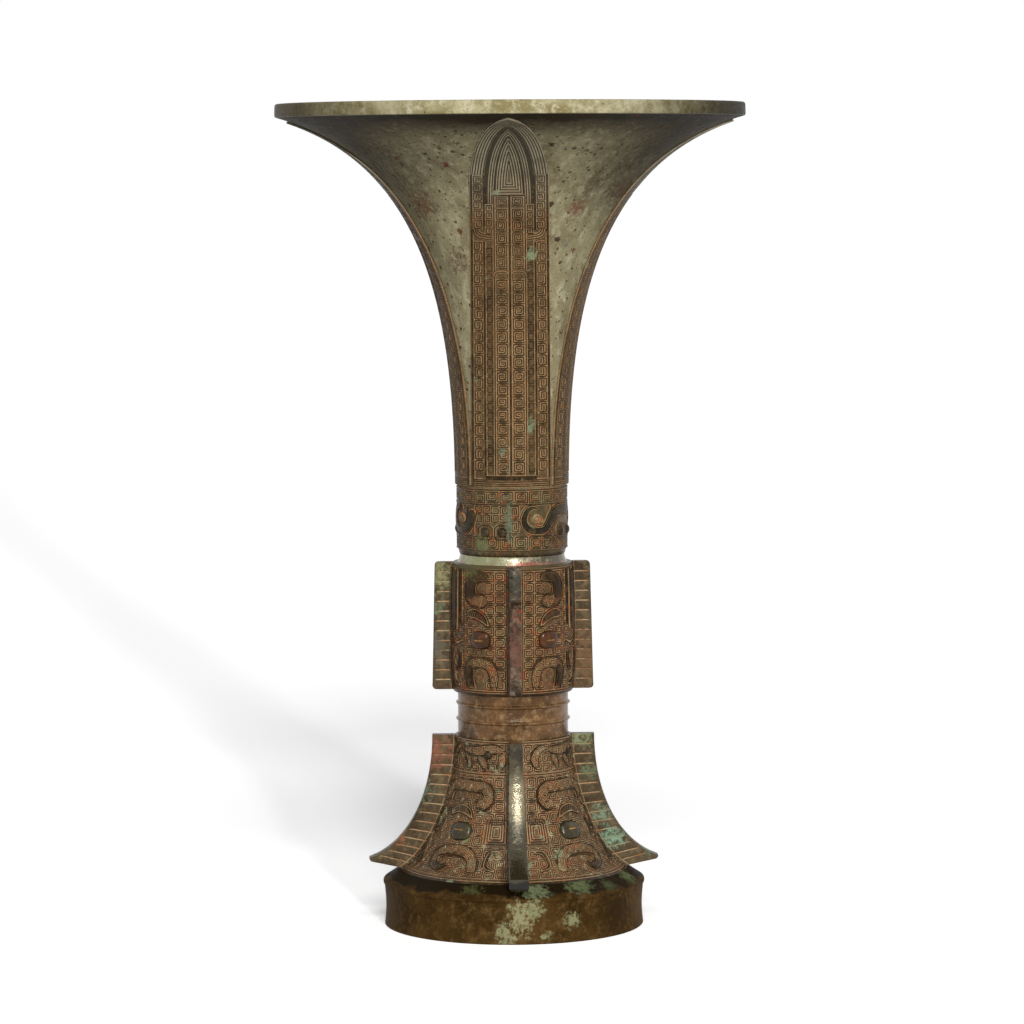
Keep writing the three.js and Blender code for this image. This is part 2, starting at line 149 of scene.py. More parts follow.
# Relief of the ground pattern, mm
LAND_HEIGHT = 0.3
LAND_SINK = -0.2
LAND_SLOPE = 0.3
GROUND_PITCH = 0.76
GROUND_LAND = 0.5
SKIRT = 0.26
SKIRT_RISE = 0.03
DUST = 0.25


def bezier(a, b, c, d, steps):
    """Points along a cubic curve."""
    t = np.linspace(0, 1, steps + 1)[:, None]
    a, b, c, d = (np.array(p, float) for p in (a, b, c, d))
    return a * (1 - t) ** 3 + 3 * b * t * (1 - t) ** 2 + 3 * c * t * t * (1 - t) + d * t**3


def flare(neck, rim, pulls, slope, steps=64):
    """Outline from a level neck end to a sloping rim end, as the flare and the bell run."""
    way = math.copysign(1, rim[1] - neck[1])
    run = (math.cos(math.radians(slope)), way * math.sin(math.radians(slope)))
    near = (neck[0], neck[1] + way * pulls[0])
    far = (rim[0] - pulls[1] * run[0], rim[1] - pulls[1] * run[1])
    return bezier(neck, near, far, rim, steps)


def heading(line):
    """Unit direction of a line at each of its points."""
    way = np.gradient(line[:, :2], axis=0)
    return way / np.hypot(way[:, 0], way[:, 1])[:, None]


def square_to(way):
    """Directions turned a quarter to the right."""
    return np.column_stack([way[:, 1], -way[:, 0]])


def run_along(line, scale=1.0):
    """Distance run at each point of a line, with its steps scaled."""
    return np.concatenate([[0], np.cumsum(np.hypot(*np.diff(line[:, :2], axis=0).T) * scale)])


def beside(outline, distance):
    """Outline moved square to itself, outwards when distance is positive."""
    return outline + distance * square_to(heading(outline))


def level_cut(outline, low, high):
    """Rising outline cut level at both ends."""
    inside = outline[(outline[:, 1] > low) & (outline[:, 1] < high)]
    ends = [(np.interp(z, outline[:, 1], outline[:, 0]), z) for z in (low, high)]
    return np.array([ends[0], *inside, ends[1]])


class Wall:
    """Outer face of a turned wall, and the flat sheet its ornament is drawn on.
    The sheet keeps angles true: x is azimuth times gauge, and y grows with the same stretch."""

    def __init__(self, outline):
        self.radius, self.level = np.array(outline, float).T
        self.gauge = self.radius[0]
        self.slope = np.gradient(self.radius, self.level)
        steps = np.hypot(np.diff(self.radius), np.diff(self.level))
        middle = (self.radius[1:] + self.radius[:-1]) / 2
        self.run = np.concatenate([[0], np.cumsum(steps)])
        self.sheet = np.concatenate([[0], np.cumsum(steps * self.gauge / middle)])

    def radius_at(self, level):
        return np.interp(level, self.level, self.radius)

    def place(self, azimuth, level, lift):
        """Points at azimuths (radians) and levels, lifted square to the wall."""
        slope = np.interp(level, self.level, self.slope)
        square = np.hypot(1, slope)
        out = self.radius_at(level) + lift / square
        return np.column_stack([out * np.sin(azimuth), -out * np.cos(azimuth), level - lift * slope / square])

    def flat(self, azimuth, level):
        """Place on the sheet of an azimuth (degrees) and a level."""
        return math.radians(azimuth) * self.gauge, float(np.interp(level, self.level, self.sheet))

    def scale(self, y):
        """True length of one unit of the sheet at height y."""
        return np.interp(y, self.sheet, self.radius) / self.gauge

    def wrap(self, flat):
        """Sheet points (x, y, lift in sheet units) on the wall."""
        level = np.interp(flat[:, 1], self.sheet, self.level)
        return self.place(flat[:, 0] / self.gauge, level, flat[:, 2] * self.scale(flat[:, 1]))


class Leaf(Wall):
    """Sheet of a plantain blade: x is the true distance from the blade's middle, y the run up the wall."""

    def __init__(self, outline, middle, base):
        super().__init__(outline)
        self.middle = middle
        self.base = base

    def scale(self, y):
        return np.ones_like(y)

    def flat(self, across, level):
        return across, float(np.interp(level, self.level, self.run))

    def wrap(self, flat):
        level = np.interp(flat[:, 1], self.run, self.level)
        turn = np.arcsin(np.clip(flat[:, 0] / self.radius_at(level), -1, 1))
        return self.place(self.middle + turn, level, self.base + flat[:, 2])


# Outlines of the decorated walls
bell_outline = flare((BELL_TOP_RADIUS, BELL_HIGH), (BELL_FOOT_RADIUS, BELL_LOW), BELL_PULLS, BELL_SLOPE)[::-1]
drum_third = (GROOVE_LOW - DRUM_LOW) / 3
drum_belly = DRUM_RADIUS + DRUM_BELLY * 4 / 3
drum_rise = bezier(
    (DRUM_RADIUS, DRUM_LOW + DRUM_EDGE), (drum_belly, DRUM_LOW + drum_third),
    (drum_belly, GROOVE_LOW - drum_third), (DRUM_RADIUS, GROOVE_LOW - DRUM_EDGE), 32,
)
trumpet_outline = flare(
    (NECK_RADIUS, TRUMPET_LOW), (MOUTH_RADIUS - LIP_OVERHANG, LIP_LOW), NECK_PULLS, TRUMPET_SLOPE, 96
)
bell = Wall(bell_outline)
drum = Wall(drum_rise)
frieze = Wall([(NECK_RADIUS, FRIEZE_LOW + FRIEZE_CHAMFER[0]), (NECK_RADIUS, TRUMPET_LOW)])


# Meshes


def linked(name, data):
    """New object in the scene."""
    obj = bpy.data.objects.new(name, data)
    bpy.context.scene.collection.objects.link(obj)
    return obj


def piece(name, bm, finish, *replaced):
    """Finished piece at the origin, riding with the vessel."""
    mesh = bpy.data.meshes.new(name)
    bm.to_mesh(mesh)
    bm.free()
    material, slot = finish
    mesh.materials.append(material)
    mesh.shade_smooth()
    mesh.set_sharp_from_angle(angle=math.radians(CREASE))
    obj = linked(name, mesh)
    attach(obj, "root")
    if replaced:
        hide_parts(*replaced)


def cast(node, bm, finish):
    """Finished piece in place of its plain CAD piece."""
    piece(f"{node}_cast", bm, finish, node)


def started():
    """Empty bmesh with the layer that says how much earth fills a hollow."""
    bm = bmesh.new()
    bm.verts.layers.float.new("earth")
    return bm


def settle(bm, verts, places, fill):
    """Vertices moved to their places (mm), each with its share of earth."""
    earth = bm.verts.layers.float["earth"]
    for vert, place, depth in zip(verts, (places * MM).tolist(), np.broadcast_to(fill, len(verts)).tolist()):
        vert.co = place
        vert[earth] = depth


def lattice(bm, across, along, bend):
    """Grid bent into a closed loft: bend gives places (mm) and earth for shares round and along it."""
    verts = bmesh.ops.create_grid(bm, x_segments=across, y_segments=along, size=0.5)["verts"]
    shares = np.array([v.co[:2] for v in verts]) + 0.5
    settle(bm, verts, *bend(shares[:, 0], shares[:, 1]))
    faces = set(face for vert in verts for face in vert.link_faces)
    bmesh.ops.remove_doubles(bm, verts=verts, dist=WELD)
    faces = [face for face in faces if face.is_valid]
    rims = [e for e in set(e for f in faces for e in f.edges) if e.is_boundary]
    if rims:
        faces += bmesh.ops.holes_fill(bm, edges=rims, sides=0)["faces"]
    bmesh.ops.recalc_face_normals(bm, faces=faces)


def spun(profile, dusty=None):
    """Closed profile of radius and height (mm) turned round the vessel's axis, with dust between two levels
    and outside a radius: dusty is (low, high, radius)."""
    bm = started()
    corners = [bm.verts.new((radius * MM, 0, height * MM)) for radius, height in profile]
    edges = [bm.edges.new(pair) for pair in zip(corners, corners[1:] + corners[:1])]
    bmesh.ops.spin(
        bm, geom=corners + edges, cent=(0, 0, 0), axis=(0, 0, 1), angle=2 * math.pi, steps=TURNED_STEPS,
        use_merge=True,
    )
    bmesh.ops.remove_doubles(bm, verts=bm.verts, dist=WELD)
    bmesh.ops.recalc_face_normals(bm, faces=bm.faces)
    if dusty:
        low, high, bore = dusty
        earth = bm.verts.layers.float["earth"]
        for vert in bm.verts:
            if low < vert.co.z / MM < high and math.hypot(vert.co.x, vert.co.y) / MM > bore:
                vert[earth] = DUST
    return bm


def drawn(curve, path, closed):
    """Straight-sided spline of a curve through points (x, y, scale)."""
    spline = curve.splines.new("POLY")
    spline.points.add(len(path) - 1)
    spline.use_cyclic_u = closed
    for point, (x, y, scale) in zip(spline.points, path):
        point.co = (x, y, 0, 1)
        point.radius = scale


def swept_lines(paths, width, height, sink):
    """Flat raised lines with sloping sides: each path is (x, y, scale) points, closed if its ends meet."""
    half, crest = width / 2, width / 2 - LAND_SLOPE * height
    section = bpy.data.curves.new("section", "CURVE")
    rim = [(-half, sink), (half, sink), (half, 0), (crest, height), (-crest, height), (-half, 0)]
    drawn(section, [(x, y, 1) for x, y in rim], True)
    section_object = linked("section", section)
    line = bpy.data.curves.new("lines", "CURVE")
    line.dimensions = "3D"
    line.twist_mode = "Z_UP"
    line.bevel_mode = "OBJECT"
    line.bevel_object = section_object
    line.use_fill_caps = True
    for path in paths:
        closed = bool(np.allclose(path[0][:2], path[-1][:2]))
        drawn(line, path[:-1] if closed else path, closed)
    line_object = linked("lines", line)
    depsgraph = bpy.context.evaluated_depsgraph_get()
    mesh = bpy.data.meshes.new_from_object(line_object.evaluated_get(depsgraph))
    for spare in (line_object, section_object):
        data = spare.data
        bpy.data.objects.remove(spare)
        bpy.data.curves.remove(data)
    return mesh


def lands(bm, wall, paths, width=GROUND_LAND, height=LAND_HEIGHT, sink=LAND_SINK, base=0.0, packed=True):
    """Raised lines wrapped on a wall, each on a low skirt of packed earth, which shows as a light line."""
    paths = [[(x, y, s / float(wall.scale(np.array(y)))) for x, y, s in path] for path in paths]
    layers = [(width, height, False), (width + 2 * SKIRT, SKIRT_RISE, True)]
    for broad, tall, buried in layers if packed else layers[:1]:
        mesh = swept_lines(paths, broad, tall, sink)
        flat = np.empty(len(mesh.vertices) * 3)
        mesh.vertices.foreach_get("co", flat)
        flat = flat.reshape(-1, 3)
        depth = mesh.attributes.new("earth", "FLOAT", "POINT")
        low = np.ones(len(flat)) if buried else flat[:, 2] < 0.3 * flat[:, 2].max()
        depth.data.foreach_set("value", low.astype(np.float32))
        flat[:, 2] += base / wall.scale(flat[:, 1])
        mesh.vertices.foreach_set("co", (wall.wrap(flat) * MM).ravel())
        mesh.update()
        bm.from_mesh(mesh)
        bpy.data.meshes.remove(mesh)


# Drawing on the sheets


def chamfered(corners, cut):
    """Line whose corners are cut, so that a swept section keeps its width round them."""
    line = [corners[0]]
    for before, corner, after in zip(corners, corners[1:], corners[2:]):
        for other in (before, after):
            way = (other[0] - corner[0], other[1] - corner[1])
            length = math.hypot(*way)
            step = min(cut, 0.45 * length) / length
            line.append((corner[0] + way[0] * step, corner[1] + way[1] * step))
    line.append(corners[-1])
    return line


def square_spiral(width, height, pitch, land):
    """Corners of a square spiral that fills its tile, from the outside in."""
    left, right = (land - width) / 2, (width - land) / 2
    low, high = (land - height) / 2, (height - land) / 2
    across = (right - left) / max(1, round((right - left) / pitch))
    up = (high - low) / max(1, round((high - low) / pitch))
    corners = [(left, low)]
    while right - left > 0.2 * across:
        corners.append((right, low))
        low += up
        if high - low < 0.2 * up:
            break
        corners.append((right, high))
        right -= across
        if right - left < 0.2 * across:
            break
        corners.append((left, high))
        high -= up
        if high - low < 0.2 * up:
            break
        corners.append((left, low))
        left += across
    return corners


def spiral_tile(x, y, width, height, shrink, turn, pitch=GROUND_PITCH, land=GROUND_LAND):
    """Square spiral on a sheet at (x, y), sizes in true mm, turned or mirrored by its number."""
    if turn & 4:
        corners = [(b, a) for a, b in square_spiral(height, width, pitch, land)]
    else:
        corners = square_spiral(width, height, pitch, land)
    flip = (-1 if turn & 1 else 1, -1 if turn & 2 else 1)
    line = chamfered(corners, 0.3 * land)
    return [(x + flip[0] * a * shrink, y + flip[1] * b * shrink, 1) for a, b in line]


def frame_line(x, y, w, h, cut):
    """Closed line round a rectangle with cut corners: w and h are half its width and height."""
    corners = [(x - w, y), (x - w, y - h), (x + w, y - h), (x + w, y + h), (x - w, y + h), (x - w, y)]
    return [(*corner, 1) for corner in chamfered(corners, cut)]


def fret_field(wall, low, high, rows, tile, clear, keep=lambda azimuth, level: True):
    """Rows of square spirals between two levels, in the four quarters between the flanges."""
    runs = np.linspace(*np.interp((low, high), wall.level, wall.run), rows + 1)
    levels = np.interp(runs, wall.run, wall.level)
    gap = GROUND_PITCH - GROUND_LAND
    paths = []
    for row, (bottom, top) in enumerate(zip(levels, levels[1:])):
        y0, y1 = (wall.flat(0, level)[1] for level in (bottom, top))
        scale = float(wall.scale((y0 + y1) / 2))
        margin = clear / (scale * wall.gauge)
        arc = QUARTER - 2 * margin
        length = arc * wall.gauge * scale
        count = max(1, round(length / tile))
        size = (length / count - gap, (y1 - y0) * scale - gap)
        for quarter, column in itertools.product(range(4), range(count)):
            azimuth = quarter * QUARTER + margin + (column + 0.5) * arc / count
            if keep(math.degrees(azimuth), (bottom + top) / 2):
                turn = carver.choice(range(8)) if row % 2 else (row + column) % 4
                paths.append(spiral_tile(azimuth * wall.gauge, (y0 + y1) / 2, *size, 1 / scale, turn))
    return paths


def ring_line(wall, level):
    """Closed level line round a wall."""
    y = wall.flat(0, level)[1]
    return [(x, y, 1) for x in np.linspace(0, 2 * math.pi * wall.gauge, RING_PIECES + 1)]


def through(points, steps):
    """Smooth line through points of any number of columns, with steps stations to a span."""
    p = np.array([2 * np.array(points[0]) - points[1], *points, 2 * np.array(points[-1]) - points[-2]], float)
    share = np.linspace(0, 1, steps, endpoint=False)[:, None]
    line = []
    for a, b, c, d in zip(p, p[1:], p[2:], p[3:]):
        square, cube = 2 * a - 5 * b + 4 * c - d, 3 * b - 3 * c + d - a
        line.append(0.5 * (2 * b + (c - a) * share + square * share**2 + cube * share**3))
    return np.vstack([*line, p[-2:-1]])


# Section of a raised band, round from the middle of its foot: side, inset from the edge, share of its height
BAND_SECTION = np.array([
    (0, 0.0, -1.0), (-1, 0.0, -1.0), (-1, 0.06, 0.6), (-1, 0.28, 1.0), (0, 0.0, 1.0),
    (1, 0.28, 1.0), (1, 0.06, 0.6), (1, 0.0, -1.0), (0, 0.0, -1.0),
])
RING_PIECES = 120
HEART_SUNK = 0.3
RIM_LAND = 0.34
RIM_GAP = 0.18


def sheet_line(wall, middle, side, points, widths, steps):
    """Smooth line on the sheet through points (azimuth from the mask's middle, level), with its widths."""
    return through([(*wall.flat(side * a + middle, z), w) for (a, z), w in zip(points, widths)], steps)


def ribbon(bm, wall, line, way, scale, half, height, foot, fill, crown=0.0, soft=1.0):
    """Raised ribbon along a line on the sheet: way is its direction and half its half width at each station,
    soft says how far its edges are rounded."""

    def bend(across, along):
        side, inset, share = BAND_SECTION[np.rint(across * (len(BAND_SECTION) - 1)).astype(int)].T
        station = np.rint(along * (len(line) - 1)).astype(int)
        out = side * np.maximum(half[station] - soft * inset, 0) / scale[station]
        rise = np.where(share < 0, foot, share * height) + np.where((side == 0) & (share > 0), crown, 0)
        flat = line[station, :2] + out[:, None] * square_to(way[station])
        return wall.wrap(np.column_stack([flat, rise / scale[station]])), np.where(share < 0.5, 1.0, fill)

    lattice(bm, len(BAND_SECTION) - 1, len(line) - 1, bend)


def band(bm, wall, middle, side, points, widths, height, foot=-0.2, fill=0.0, crown=0.0, steps=7):
    """Raised band with round ends along points (azimuth from the mask's middle, level)."""
    line = sheet_line(wall, middle, side, points, widths, steps)
    scale = wall.scale(line[:, 1])
    done = run_along(line, scale[1:])
    half = line[:, 2] / 2
    near = np.minimum(done, done[-1] - done)
    tip = np.clip(near / np.maximum(0.9 * half, 0.1), 0, 1)
    half = half * np.sqrt(np.clip(1 - (1 - tip) ** 2, 0, 1))
    ribbon(bm, wall, line, heading(line), scale, half, height, foot, fill, crown)


def carved_band(bm, wall, middle, side, points, widths, height, hearts="s"):
    """Band with a sunk floor and a rim land along each edge. Its heart is written as one letter a span,
    or one for all: s smooth, f fretted with spirals, n none."""
    if len(hearts) == 1:
        hearts *= len(points) - 1
    floor = height - HEART_SUNK
    # Round a fretted band the skirt keeps the dark metal colour, a painted shadow outline along the band's
    # edges. Round other bands it is light earth.
    skirt, skirt_fill, floor_fill = (0.9, 0.0, DUST) if "f" in hearts else (0.6, 1.0, 1.0)
    band(bm, wall, middle, side, points, [w + skirt for w in widths], 0.08, fill=skirt_fill)
    band(bm, wall, middle, side, points, widths, floor, fill=floor_fill)
    for hand in (-1, 1):
        offsets = [hand * max((w - RIM_LAND) / 2, 0.05) for w in widths]
        rim_line(bm, wall, middle, side, points, offsets, height)
    inner = [max(w - 2 * (RIM_LAND + RIM_GAP), 0.35) for w in widths]
    ends = trimmed(wall, points, RIM_LAND + RIM_GAP)
    for kind, spans in itertools.groupby(range(len(hearts)), hearts.__getitem__):
        spans = list(spans)
        part = slice(spans[0], spans[-1] + 2)
        if kind == "s":
            band(bm, wall, middle, side, ends[part], inner[part], height + 0.05, foot=floor - 0.1, crown=0.08)
        elif kind == "f":
            frets = band_frets(wall, middle, side, ends[part], inner[part])
            lands(bm, wall, frets, 0.34, HEART_SUNK, -0.1, base=floor)


def band_frets(wall, middle, side, points, widths):
    """Square spirals set along a band, each turned with it and as large as it is wide there."""
    line = sheet_line(wall, middle, side, points, widths, 12)
    shrink = 1 / wall.scale(line[:, 1])
    done = run_along(line, 1 / shrink[1:])
    paths = []
    at = 0.5 * line[0, 2]
    while at < done[-1]:
        x, y, w, unit = (np.interp(at, done, column) for column in (*line.T, shrink))
        ahead, behind = min(at + 0.3, done[-1]), max(at - 0.3, 0)
        lean_x, lean_y = (np.interp(ahead, done, c) - np.interp(behind, done, c) for c in line.T[:2])
        lean = math.atan2(lean_y, lean_x)
        cos, sin = unit * math.cos(lean), unit * math.sin(lean)
        if w > 1.1:
            tile = spiral_tile(0, 0, w, w, 1, carver.choice(range(4)), 0.62, 0.34)
            paths.append([(x + a * cos - b * sin, y + a * sin + b * cos, 1) for a, b, _ in tile])
        at += max(w, 0.8) + 0.25
    return paths


def trimmed(wall, points, cut):
    """The same points with both ends drawn in by a true length."""
    points = [tuple(p) for p in points]
    for end, beyond in ((0, 1), (-1, -2)):
        a, b = points[end], points[beyond]
        radius = float(wall.radius_at(a[1]))
        length = math.hypot(math.radians(b[0] - a[0]) * radius, b[1] - a[1])
        share = min(cut / length, 0.45)
        points[end] = (a[0] + share * (b[0] - a[0]), a[1] + share * (b[1] - a[1]))
    return points


def rim_line(bm, wall, middle, side, points, offsets, height):
    """Narrow land beside a band's line, at a distance that follows the band's width."""
    line = sheet_line(wall, middle, side, points, offsets, 7)
    way, scale = heading(line), wall.scale(line[:, 1])
    line[:, :2] += (line[:, 2] / scale)[:, None] * square_to(way)
    half = np.full(len(line), RIM_LAND / 2)
    ribbon(bm, wall, line, way, scale, half, height, 0.3 * height, 0.0, soft=0.4)


def curl(wall, azimuth, level, size, turns, side=1, start=0.0, stretch=1.0):
    """Round spiral on a sheet, tapering to its middle: size is its outer radius in true mm."""
    x, y = wall.flat(azimuth, level)
    shrink = 1 / float(wall.scale(np.array(y)))
    line = []
    for share in np.linspace(0, 1, int(14 * turns) + 1):
        radius = size * (1 - 0.88 * share) * shrink
        turn = math.radians(start) + 2 * math.pi * turns * share
        out, up = side * stretch * radius * math.cos(turn), radius * math.sin(turn)
        line.append((x + out, y + up, 1 - 0.35 * share))
    return line


def dome(bm, wall, azimuth, level, width, height, rise, squareness, slit=None, sides=48, rings=20):
    """Domed boss with a rounded-square outline, and a slit (half length, half height, depth) in its crown."""
    verts = bmesh.ops.create_uvsphere(bm, u_segments=sides, v_segments=rings, radius=1)["verts"]
    ball = np.array([v.co for v in verts])
    round_out = np.hypot(ball[:, 0], ball[:, 1])
    power = (np.abs(ball[:, 0]) ** squareness + np.abs(ball[:, 1]) ** squareness) ** (1 / squareness)
    widen = np.where(power > 1e-6, round_out / np.maximum(power, 1e-6), 1)
    x = ball[:, 0] * widen * width / 2
    y = ball[:, 1] * widen * height / 2
    lift = np.maximum(ball[:, 2], -0.25) * rise
    fill = (ball[:, 2] < 0.05).astype(float)
    if slit:
        inside = np.clip(1 - (x / slit[0]) ** 4 - (y / slit[1]) ** 2, 0, 1) * (ball[:, 2] > 0)
        lift = lift - slit[2] * np.sqrt(inside)
        fill = np.maximum(fill, (inside > 0.05).astype(float))
    radius = float(wall.radius_at(level))
    slope = float(np.interp(level, wall.level, wall.slope))
    places = wall.place(math.radians(azimuth) + x / radius, level + y / math.hypot(1, slope), lift)
    settle(bm, verts, places, fill)
    bmesh.ops.recalc_face_normals(bm, faces=list(set(f for v in verts for f in v.link_faces)))


# Finishes


def feed(tree, made, inputs):
    """Inputs of a shader node linked to sockets or set to values."""
    for key, value in inputs.items():
        if isinstance(value, bpy.types.NodeSocket):
            tree.links.new(value, made.inputs[key])
        else:
            made.inputs[key].default_value = value


def shader_node(tree, kind, inputs=(), **settings):
    made = tree.nodes.new(kind)
    for key, value in settings.items():
        setattr(made, key, value)
    feed(tree, made, dict(inputs))
    return made


def tone(code):
    """Linear colour of a written colour."""
    parts = [int(code[i : i + 2], 16) / 255 for i in (1, 3, 5)]
    return (*[p / 12.92 if p <= 0.04045 else ((p + 0.055) / 1.055) ** 2.4 for p in parts], 1)


class Finish:
    """Node material built in layers over a base colour."""

    def __init__(self, name):
        self.material = bpy.data.materials.new(name)
        self.material.use_nodes = True
        self.tree = self.material.node_tree
        self.shader = self.tree.nodes["Principled BSDF"]
        self.coordinates = self.node("ShaderNodeTexCoord").outputs["Object"]

    def node(self, kind, inputs=(), **settings):
        return shader_node(self.tree, kind, inputs, **settings)

    def noise(self, size, detail=4.0, roughness=0.55, distortion=0.0, vector=None):
        """Cloudy noise with features of a size in mm."""
        inputs = {"Vector": vector or self.coordinates, "Scale": 1 / (size * MM), "Detail": detail,
                  "Roughness": roughness, "Distortion": distortion}
        return self.node("ShaderNodeTexNoise", inputs).outputs["Fac"]

    def span(self, value, low, high, to_low=0.0, to_high=1.0):
        """Value moved from one range to another and held in it."""
        inputs = {"Value": value, "From Min": low, "From Max": high, "To Min": to_low, "To Max": to_high}
        return self.node("ShaderNodeMapRange", inputs, clamp=True).outputs["Result"]

    def math(self, operation, a, b):
        return self.node("ShaderNodeMath", {0: a, 1: b}, operation=operation).outputs[0]

    def vector(self, operation, a, b):
        return self.node("ShaderNodeVectorMath", {0: a, 1: b}, operation=operation).outputs[0]

    def mix(self, share, a, b):
        """Mix of two colours, each a socket or written."""
        a, b = (tone(colour) if isinstance(colour, str) else colour for colour in (a, b))
        return self.node("ShaderNodeMix", {0: share, 6: a, 7: b}, data_type="RGBA").outputs[2]

    def stain(self, colour, share, code):
        """Colour with a written one over most of it where share is 1."""
        return self.mix(self.math("MULTIPLY", share, OVERLAY_COVER), colour, code)

    def near(self, azimuth, level, radius, size, stretch):
        """1 near a place on the vessel (azimuth, radius and level), 0 past size mm, with a ragged edge."""
        turn = math.radians(azimuth)
        centre = (radius * MM * math.sin(turn), -radius * MM * math.cos(turn), level * MM)
        shift = self.vector("SUBTRACT", self.coordinates, centre)
        shift = self.vector("MULTIPLY", shift, (1, 1, 1 / stretch))
        far = self.node("ShaderNodeVectorMath", {0: shift}, operation="LENGTH").outputs["Value"]
        fall = self.span(far, 0, size * MM, 1, 0)
        reach = min(0.75, 9 / size)
        ragged = self.span(self.noise(1.7, 8, 0.72), 0.3, 0.7, -reach, reach)
        share = self.span(self.math("ADD", fall, ragged), 0.25, 0.8)
        return self.math("MULTIPLY", share, self.span(fall, 0.0, 0.25))


OVERLAY_COVER = 0.85


def old_bronze(
    slot, name, metal, earth, flecks=(), stains_and_shade=(), bands=(), pits=(), gloss=(0.34, 0.6), grain=1.0,
    metallic=0.05, shine=0.12, streak=1.0,
):
    """Patinated bronze and its slot: metal is (dark, middle, light), earth is (fill, second fill, pale).
    flecks are (colour, size mm, cover share, on earth only), pits (colour, spacing mm, share of cells),
    bands (colour, level where it starts, level where it is full, strength, layer: "metal", "earth", "all" or
    "underside"; the underside layer is painted shade on faces that look down), and stains_and_shade (colour,
    azimuth, level, radius, size, stretch): real stains, and in some finishes dark patches of painted shade."""
    f = Finish(name)
    streaked = f.vector("MULTIPLY", f.coordinates, (1, 1, 1 / streak))
    height = f.node("ShaderNodeSeparateXYZ", {0: f.coordinates}).outputs[2]
    cloud = f.noise(14, 5, 0.6, 0.4, streaked)
    mottle = f.noise(3.2, 6, 0.62, 0, streaked)
    speck = f.noise(0.7, 3, 0.6)
    waver = f.math("ADD", height, f.span(cloud, 0, 1, -0.004, 0.004))

    def banded(colour, layer, mask=None):
        for code, low, high, strength, where in bands:
            if where == layer:
                share = f.span(waver, low * MM, high * MM, 0, strength)
                colour = f.mix(f.math("MULTIPLY", share, mask) if mask else share, colour, code)
        return colour

    colour = f.mix(f.span(cloud, 0.38, 0.64), metal[0], metal[1])
    colour = f.mix(f.span(mottle, 0.5, 0.72, 0, 0.8), colour, metal[2])
    colour = f.mix(f.span(speck, 0.56, 0.75, 0, 0.5), colour, metal[2])
    colour = f.mix(f.span(speck, 0.44, 0.3, 0, 0.6), colour, metal[0])
    colour = banded(colour, "metal")
    hollow = f.node("ShaderNodeAttribute", attribute_name="earth").outputs["Fac"]
    if earth:
        dirt = f.mix(f.span(f.noise(5.5, 5, 0.65, 0.3), 0.42, 0.62), earth[0], earth[1])
        dirt = banded(f.mix(f.span(speck, 0.5, 0.72, 0, 0.55), dirt, earth[2]), "earth")
        packed = f.math("MULTIPLY", hollow, f.span(f.noise(7.5, 4, 0.6), 0.3, 0.52, 0.55, 1.0))
        colour = f.mix(packed, colour, dirt)
    for i, (code, size, cover, buried) in enumerate(flecks):
        shifted = f.vector("ADD", f.coordinates, (0.37 * (i + 1), 0.19, 0.53 * i))
        edge = 0.78 - 0.42 * cover
        share = f.span(f.noise(size, 5, 0.6, 0.2, shifted), edge, edge + 0.06)
        if buried:
            share = f.math("MULTIPLY", share, f.span(hollow, 0, 1, 0.12, 1))
        colour = f.stain(colour, share, code)
    for code, *place in stains_and_shade:
        colour = f.stain(colour, f.near(*place), code)
    colour = banded(colour, "all")
    # Layer "underside" is painted shade. It darkens only faces that look down, such as the flare under the
    # lip.
    normal = f.node("ShaderNodeNewGeometry").outputs["Normal"]
    facing_down = f.span(f.node("ShaderNodeSeparateXYZ", {0: normal}).outputs[2], 0.05, -0.1)
    colour = banded(colour, "underside", facing_down)
    relief = f.math("ADD", f.math("MULTIPLY", mottle, 1.6), f.math("MULTIPLY", speck, 0.55))
    relief = f.math("ADD", relief, f.noise(1.5, 2, 0.5))
    for code, spacing, cover in pits:
        inputs = {"Vector": f.coordinates, "Scale": 1 / (spacing * MM), "Randomness": 1}
        cells = f.node("ShaderNodeTexVoronoi", inputs, feature="F1").outputs
        chosen = f.span(cells["Color"], 1 - cover, 1, 0.06, 0.34)
        edge = f.math("ADD", cells["Distance"], f.span(speck, 0.3, 0.7, -0.12, 0.12))
        dent = f.span(f.math("SUBTRACT", chosen, edge), 0.0, 0.07)
        colour = f.stain(colour, dent, code)
        relief = f.math("SUBTRACT", relief, f.math("MULTIPLY", dent, 0.9))
    rough = f.span(f.math("ADD", mottle, f.math("MULTIPLY", hollow, 0.25)), 0.36, 0.75, *gloss)
    bump = f.node("ShaderNodeBump", {"Strength": 0.35 * grain, "Distance": 0.00035, "Height": relief})
    feed(f.tree, f.shader, {
        "Base Color": colour, "Roughness": rough, "Metallic": metallic, "Specular IOR Level": shine,
        "Normal": bump.outputs["Normal"],
    })
    return f.material, slot


trumpet_finish = old_bronze(
    "trumpet_bronze", "grey green neck bronze", ("#7d7256", "#a59c7a", "#c4bd9c"), None,
    flecks=[("#6b4634", 2.4, 0.24, False), ("#75766a", 5.5, 0.24, False), ("#c9c3a2", 4.4, 0.3, False)],
    # The underside band is painted shade under the lip.
    bands=[("#261f18", 291.5, 298.5, 0.95, "underside"), ("#5f4a2c", 205, 168, 0.6, "all")],
    stains_and_shade=[
        # The first two dark patches, on both sides near the lip, are painted shade where the light falls off.
        ("#1d1811", 64, 288, 74, 70, 1), ("#2b241b", -68, 288, 74, 63, 1), ("#5b4a38", 62, 272, 46, 12, 1),
        ("#71513f", -52, 268, 42, 10, 0.8), ("#7b5a46", 34, 266, 42, 7, 0.9),
        ("#6c5846", -40, 246, 34, 8, 1.4),
    ],
    pits=[("#3a241b", 4.4, 0.5), ("#5e3428", 6.0, 0.45), ("#4a3624", 2.6, 0.7), ("#54402f", 1.6, 0.5)],
    gloss=(0.42, 0.6), grain=0.7, metallic=0.01, shine=0.01, streak=2.2,
)
